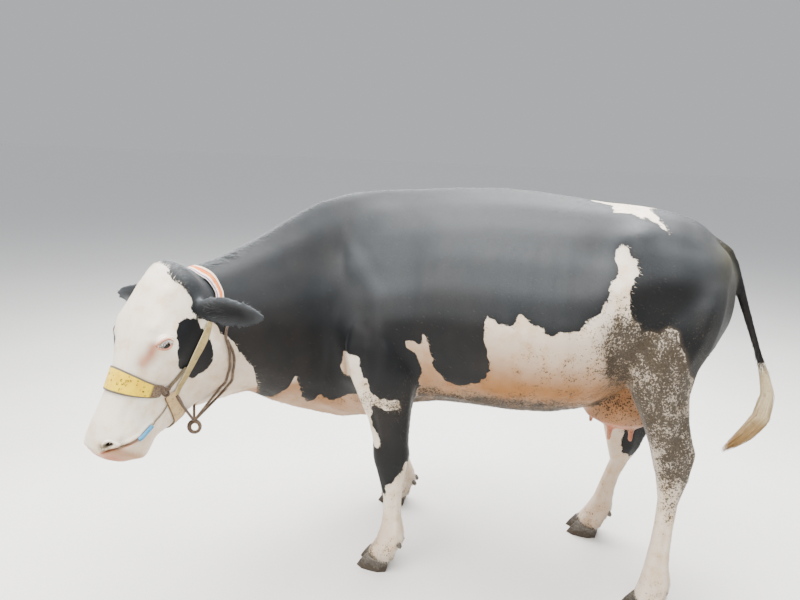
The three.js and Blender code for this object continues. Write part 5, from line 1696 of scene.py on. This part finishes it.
def coat_piece(name, batches, material, replaced=()):
    """One mesh of several batches of blades, with the skin's own fields at each root."""
    places, outs, faces, patches = [], [], [], []
    values = {key: [] for key in batches[0]["fields"]}
    start = 0
    for batch in batches:
        blade_places, blade_outs, steps = batch["blades"]
        count, corners = blade_places.shape[:2]
        blade, patch = blade_faces(count, steps)
        faces.append(blade + start)
        places.append(blade_places.reshape(-1, 3))
        outs.append(blade_outs.reshape(-1, 3))
        patches.append((batch["unwrap"][:, None] + patch[None]).reshape(-1, 2))
        for key, numbers in batch["fields"].items():
            values[key].append(np.repeat(numbers, corners))
        start += count * corners
    places, faces = np.concatenate(places), np.concatenate(faces)
    mesh = bpy.data.meshes.new(name)
    mesh.vertices.add(len(places))
    mesh.vertices.foreach_set("co", (places + SHIFT).ravel())
    mesh.loops.add(faces.size)
    mesh.loops.foreach_set("vertex_index", faces.ravel().astype(np.int32))
    mesh.polygons.add(len(faces))
    mesh.polygons.foreach_set("loop_start", np.arange(0, faces.size, 3, dtype=np.int32))
    mesh.update(calc_edges=True)
    patches = np.concatenate(patches)[faces.ravel()]
    mesh.uv_layers.new(name="OFBake").data.foreach_set("uv", patches.ravel().astype(np.float32))
    for key, numbers in values.items():
        set_field(mesh, key, np.concatenate(numbers))
    mesh.shade_smooth()
    mesh.normals_split_custom_set_from_vertices(np.concatenate(outs).tolist())
    shown_as(new_object(name, mesh, material), replaced)


def tufts(density, length, width, lifted, fanned, sheen_grey=0.0, steps=2, lie=None):
    """A batch of tufts. The lengths and the lift are numbers, or one for each vertex of the skin."""
    place, normal, vertex = ground.sown(density)
    at = lambda value: np.broadcast_to(value, len(ground.places))[vertex]
    direction = (ground.lie if lie is None else lie)[vertex]
    made = blades(place, normal, direction, at(length), at(width), at(lifted), fanned, steps)
    values = {key: fields[key][vertex] for key in ("tan", "mud_and_shade", "stain", "bare", "dust_and_sheen")}
    dark = fields["dark"][vertex] + rng.normal(0, 0.0016, len(vertex))
    values["dark"] = np.where(dark > 0, 0.03, -0.03)
    values["wet"] = values["pit_shade"] = np.zeros(len(vertex))
    values["shade"] = rng.random(len(vertex))
    values["sheen_grey"] = at(sheen_grey) * rng.uniform(0.5, 1.0, len(vertex))
    return {"blades": made, "unwrap": ground.unwrap[vertex], "fields": values}


def coat():
    """Tufts wherever the hair breaks the form, and a thin scatter of them everywhere."""
    x, y, z = ground.places.T
    along, out, up = ground.head.T
    nx, _, nz = ground.normals.T
    dark = fields["dark"]
    body, neck, head, ear = part["trunk"], part["neck"], part["head"], part["ear"]
    leg, tail, udder = part["fore"] | part["hind"], part["tail"], part["udder"]
    top, under = step(nz, 0.90, 0.985), step(-nz, 0.35, 0.85)
    edge = bell(dark, 0, 0.006)
    look = coat_look("tufts", on_tuft=True)
    poll_end = step(-x, 0.72, 0.98)
    # the last number of each crest batch is painted sheen on the upward-facing hair
    crest = [
        tufts(neck * step(nz, 0.72, 0.96) * (34000 + 46000 * poll_end), 0.015 + 0.011 * poll_end, 0.0018,
              12 + 8 * poll_end, 0.28, 0.45),
        tufts(body * top * 22000, 0.014, 0.0016, 8, 0.22, 0.30),
    ]
    coat_piece("coat_crest", crest, look)
    flat = body * (1 - top) * (1 - 0.6 * under)
    hide = [
        tufts((flat + neck * (1 - under)) * 2300, 0.016, 0.0017, 6, 0.14),
        tufts((body | neck) * edge * 24000, 0.013, 0.0016, 7, 0.20),
        tufts((body | neck) * under * 9000, 0.020, 0.0020, 13, 0.25),
        tufts(udder * 3500, 0.008, 0.0014, 8, 0.20),
    ]
    coat_piece("coat_body", hide, look)
    low = 1 - step(z, 0.75, 0.95)
    rear = step(nx, 0.25, 0.75) * low
    fetlock = bell(z, 0.115, 0.030) * step(nx, -0.2, 0.5)
    coronet = bell(z, CORONET, 0.010)
    legs = [
        tufts(leg * 3600, 0.011, 0.0014, 6, 0.14),
        tufts(leg * edge * 24000, 0.011, 0.0014, 7, 0.18),
        tufts(leg * rear * (1 - fetlock) * 15000, 0.015, 0.0016, 11, 0.20),
        tufts(leg * fetlock * 42000, 0.021, 0.0017, 19, 0.25),
        tufts(leg * coronet * 60000, 0.023, 0.0016, 13, 0.22),
    ]
    coat_piece("coat_legs", legs, look)
    poll = head * step(-along, -0.045, 0.010) * step(up, -0.06, 0.0)
    jaw = head * step(-up, 0.17, 0.24) * step(along, 0.02, 0.08)
    chin = head * step(along, 0.40, 0.47) * step(-up, 0.19, 0.23)
    face = [
        tufts(head * (1 - poll) * 6500, 0.008, 0.0011, 6, 0.16),
        tufts(head * edge * 30000, 0.009, 0.0012, 6, 0.22),
        tufts(poll * 60000, 0.014, 0.0015, 12, 0.35, 0.10),
        tufts(jaw * 16000, 0.012, 0.0013, 12, 0.22),
        tufts(chin * 12000, 0.011, 0.0011, 16, 0.30),
    ]
    coat_piece("coat_head", face, look)
    fringe = []
    for side in (1, -1):
        run, across, _ = ear_places(ground.places, side)
        here = ear & (out * side > 0)
        _, along_ear, blade, hollow = ear_frame(side)
        rim = here * bell(np.abs(across), 0.97, 0.10) * step(run, 0.10, 0.22)
        outward = 0.75 * along_ear + 0.65 * blade * np.sign(across)[:, None]
        fringe.append(tufts(rim * 90000, 0.010, 0.0012, 16, 0.25, 0.55, lie=outward))
        facing = step(ground.normals @ hollow, 0.1, 0.5)
        inside = here * facing * bell(run, 0.22, 0.12) * step(1 - np.abs(across), 0.1, 0.35)
        inward = 0.9 * along_ear - 0.25 * blade * np.sign(across)[:, None]
        fringe.append(tufts(inside * 30000, 0.024, 0.0011, 13, 0.18, 0.20, 3, lie=inward))
        fringe.append(tufts(here * (1 - facing) * 11000, 0.011, 0.0013, 7, 0.20, 0.15))
    low_tail = 1 - step(z, 0.88, 1.02)
    dock = tufts(tail * (15000 + 25000 * low_tail), 0.014 + 0.022 * low_tail, 0.0016, 8, 0.16)
    coat_piece("coat_ears_tail", fringe + [dock], look)


# The tail's path: the share of its length, its place, and half its width across and along.
TAIL = [(0.00, 0.556, 0.000, 1.284, 0.032, 0.026), (0.28, 0.694, -0.016, 1.122, 0.018, 0.018),
        (0.42, 0.734, -0.028, 1.022, 0.015, 0.015), (0.56, 0.774, -0.036, 0.924, 0.013, 0.013),
        (0.64, 0.798, -0.038, 0.868, 0.014, 0.014), (0.74, 0.824, -0.038, 0.790, 0.022, 0.020),
        (0.84, 0.822, -0.034, 0.700, 0.032, 0.028), (0.92, 0.782, -0.030, 0.626, 0.028, 0.024),
        (1.00, 0.718, -0.026, 0.550, 0.007, 0.007)]
LOCKS, LOCK_STEPS = 620, 12
LOCK_WIDTH = 0.0062


def tail_at(share):
    shares = [row[0] for row in TAIL]
    return np.stack([np.interp(share, shares, [row[k] for row in TAIL]) for k in range(1, 6)], axis=-1)


def switch():
    """The long hair at the end of the tail: locks that leave the dock and gather to a point."""
    first = rng.uniform(0.560, 0.80, LOCKS)
    last = np.minimum(first + rng.uniform(0.18, 0.42, LOCKS), rng.uniform(0.90, 1.0, LOCKS))
    turn = rng.uniform(0, 2 * math.pi, LOCKS)
    share = np.sqrt(rng.uniform(0.05, 1.0, LOCKS))
    wave, phase = rng.uniform(0.0, 0.0026, LOCKS), rng.uniform(0, 2 * math.pi, LOCKS)
    places, outs = [], []
    for k in range(LOCK_STEPS + 1):
        t = k / LOCK_STEPS
        run = first + (last - first) * t
        before, here, after = tail_at(run - 0.01), tail_at(run), tail_at(run + 0.01)
        travel = unit(after[:, :3] - before[:, :3])
        back = unit(np.cross(travel, (0.0, 1.0, 0.0)))
        side = np.cross(back, travel)
        spread = share * (0.35 + 0.65 * step(np.full(LOCKS, t), 0.0, 0.35)) * 0.92
        angle = turn + 0.5 * t
        out = side * np.cos(angle)[:, None] + back * np.sin(angle)[:, None]
        reach = np.hypot(here[:, 3] * np.cos(angle), here[:, 4] * np.sin(angle)) * spread
        middle = here[:, :3] + out * reach[:, None]
        ripple = np.sin(9.0 * t + phase) * wave
        middle = middle + (side * ripple[:, None] + back * np.roll(ripple, 1)[:, None])
        if k == LOCK_STEPS:
            places.append(middle)
            outs.append(out)
            break
        half = LOCK_WIDTH / 2 * (1 - 0.8 * t**1.5) * (0.6 + 0.4 * min(1.0, 5 * t))
        beside = np.cross(out, travel)
        places += [middle - beside * half, middle + beside * half, middle + out * half * 0.8]
        outs += [unit(out - 0.7 * beside), unit(out + 0.7 * beside), out]
    unwrap = np.stack([0.02 + 0.96 * turn / (2 * math.pi), 0.1 + 0.8 * (first - 0.5) / 0.5], axis=1)
    values = {"shade": rng.random(LOCKS), "reach": first}
    made = np.stack(places, axis=1), np.stack(outs, axis=1), LOCK_STEPS
    batch = {"blades": made, "unwrap": unwrap, "fields": values}
    coat_piece("tail_switch_hair", [batch], switch_look(), ["tail_switch"])


def switch_look():
    look = Look("switch_hair", Specular_IOR_Level=0.3, Sheen_Weight=0.2)
    height = look.node("ShaderNodeSeparateXYZ", {"Vector": look.places}).outputs["Z"]
    ragged = look.scaled(look.noise(18.0, 4.0), 0.16, -0.08)
    level = look.plus(height, ragged)
    cream = look.mix(look.field("shade"), paint("e3d3ae"), paint("bda679"))
    brown = look.mix(look.field("shade"), paint("a9844c"), paint("7f5f38"))
    hair = look.mix(look.rise(level, 0.78, 0.60), cream, brown)
    strand = look.noise(14.0, 4.0, 0.6, look.stretched((90, 90, 7)))
    hair = look.mix(look.rise(strand, 0.40, 0.75, 0.0, 0.55), hair, paint("7f6948"))
    soil = look.rise(look.noise(55.0, 5.0, 0.6), 0.56, 0.74, 0.0, 0.7)
    hair = look.mix(soil, hair, paint("5b4a35"))
    return look.finish(hair, 0.72, look.bump(strand, 0.4, 0.0015))


LASHES, LASH_STEPS = 26, 4


def lashes():
    """Pale lashes along the upper lids, and sparse whiskers on the chin and lips."""
    batches = []
    for side in (1, -1):
        middle = np.array(EYE_PLACE) * (1, side, 1)
        a = np.linspace(-0.92, 0.92, LASHES) * SLIT_HALF
        b = SLIT_ABOVE * (1 - (a / SLIT_HALF) ** 2) + 0.0012
        start = middle + np.stack([a * math.cos(SLIT_TILT) - b * math.sin(SLIT_TILT), np.zeros(LASHES),
                                   a * math.sin(SLIT_TILT) + b * math.cos(SLIT_TILT)], axis=1)
        start = start + np.array([0, side * 0.045, 0])
        outward = side * LEFTWARD
        roots = np.array([skin_hit(from_head(p), -outward)[0] for p in start])
        down = math.sin(SLIT_TILT) * FACE - math.cos(SLIT_TILT) * DORSAL
        fan = math.cos(SLIT_TILT) * FACE + math.sin(SLIT_TILT) * DORSAL
        lie = unit(down + 0.5 * (a / SLIT_HALF)[:, None] * fan)
        normal = np.tile(outward, (LASHES, 1))
        made = blades(roots, normal, lie, 0.019, 0.0018, 50, 0.10, LASH_STEPS, 0.0005, 0.75)
        unwrap = np.stack([0.1 + 0.8 * (a / SLIT_HALF + 1) / 2, np.full(LASHES, 0.5 + 0.3 * side)], axis=1)
        batches.append({"blades": made, "unwrap": unwrap, "fields": {"shade": rng.random(LASHES)}})
    along, out, up = ground.head.T
    hairy = part["head"] * step(along, 0.43, 0.48) * (1 - step(along, 0.520, 0.535))
    place, normal, vertex = ground.sown(hairy * step(-up, 0.06, 0.10) * 900)
    made = blades(place, normal, ground.lie[vertex], 0.026, 0.0007, 42, 0.5, LASH_STEPS, 0.001, 0.5)
    unwrap = np.stack([0.1 + 0.8 * rng.random(len(vertex)), np.full(len(vertex), 0.5)], axis=1)
    batches.append({"blades": made, "unwrap": unwrap, "fields": {"shade": rng.random(len(vertex))}})
    look = Look("lashes", Specular_IOR_Level=0.3)
    tone = look.mix(look.field("shade"), paint("f1ebe2"), paint("cfc6ba"))
    tone = look.mix(look.rise(look.noise(300.0), 0.5, 0.8), tone, paint("b8ab9c"))
    coat_piece("lashes", batches, look.finish(tone, 0.6))


# ---------------------------------------------------------------- the model


def shown_as(piece, nodes):
    """Puts a piece on the body, in place of the solids it shows."""
    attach(piece, "root")
    if nodes:
        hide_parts(*nodes)


coat_material = coat_look("coat")
skin, part, near, fields = build_skin(coat_material)
shown_as(skin, [n for n in FLESH if not n.startswith("eye")])
shown_as(eyeballs(eye_look()), ["eye_left", "eye_right"])
horn_material = horn_look()
claws("claw", CLAW_VOXEL, CLAW_ROUNDS, horn_material)
claws("dewclaw", DEWCLAW_VOXEL, DEWCLAW_ROUNDS, horn_material)
skin_tree = tree_of(skin.data)
halter()
ground = Ground()
coat()
switch()
lashes()
camera_in_place()
studio()
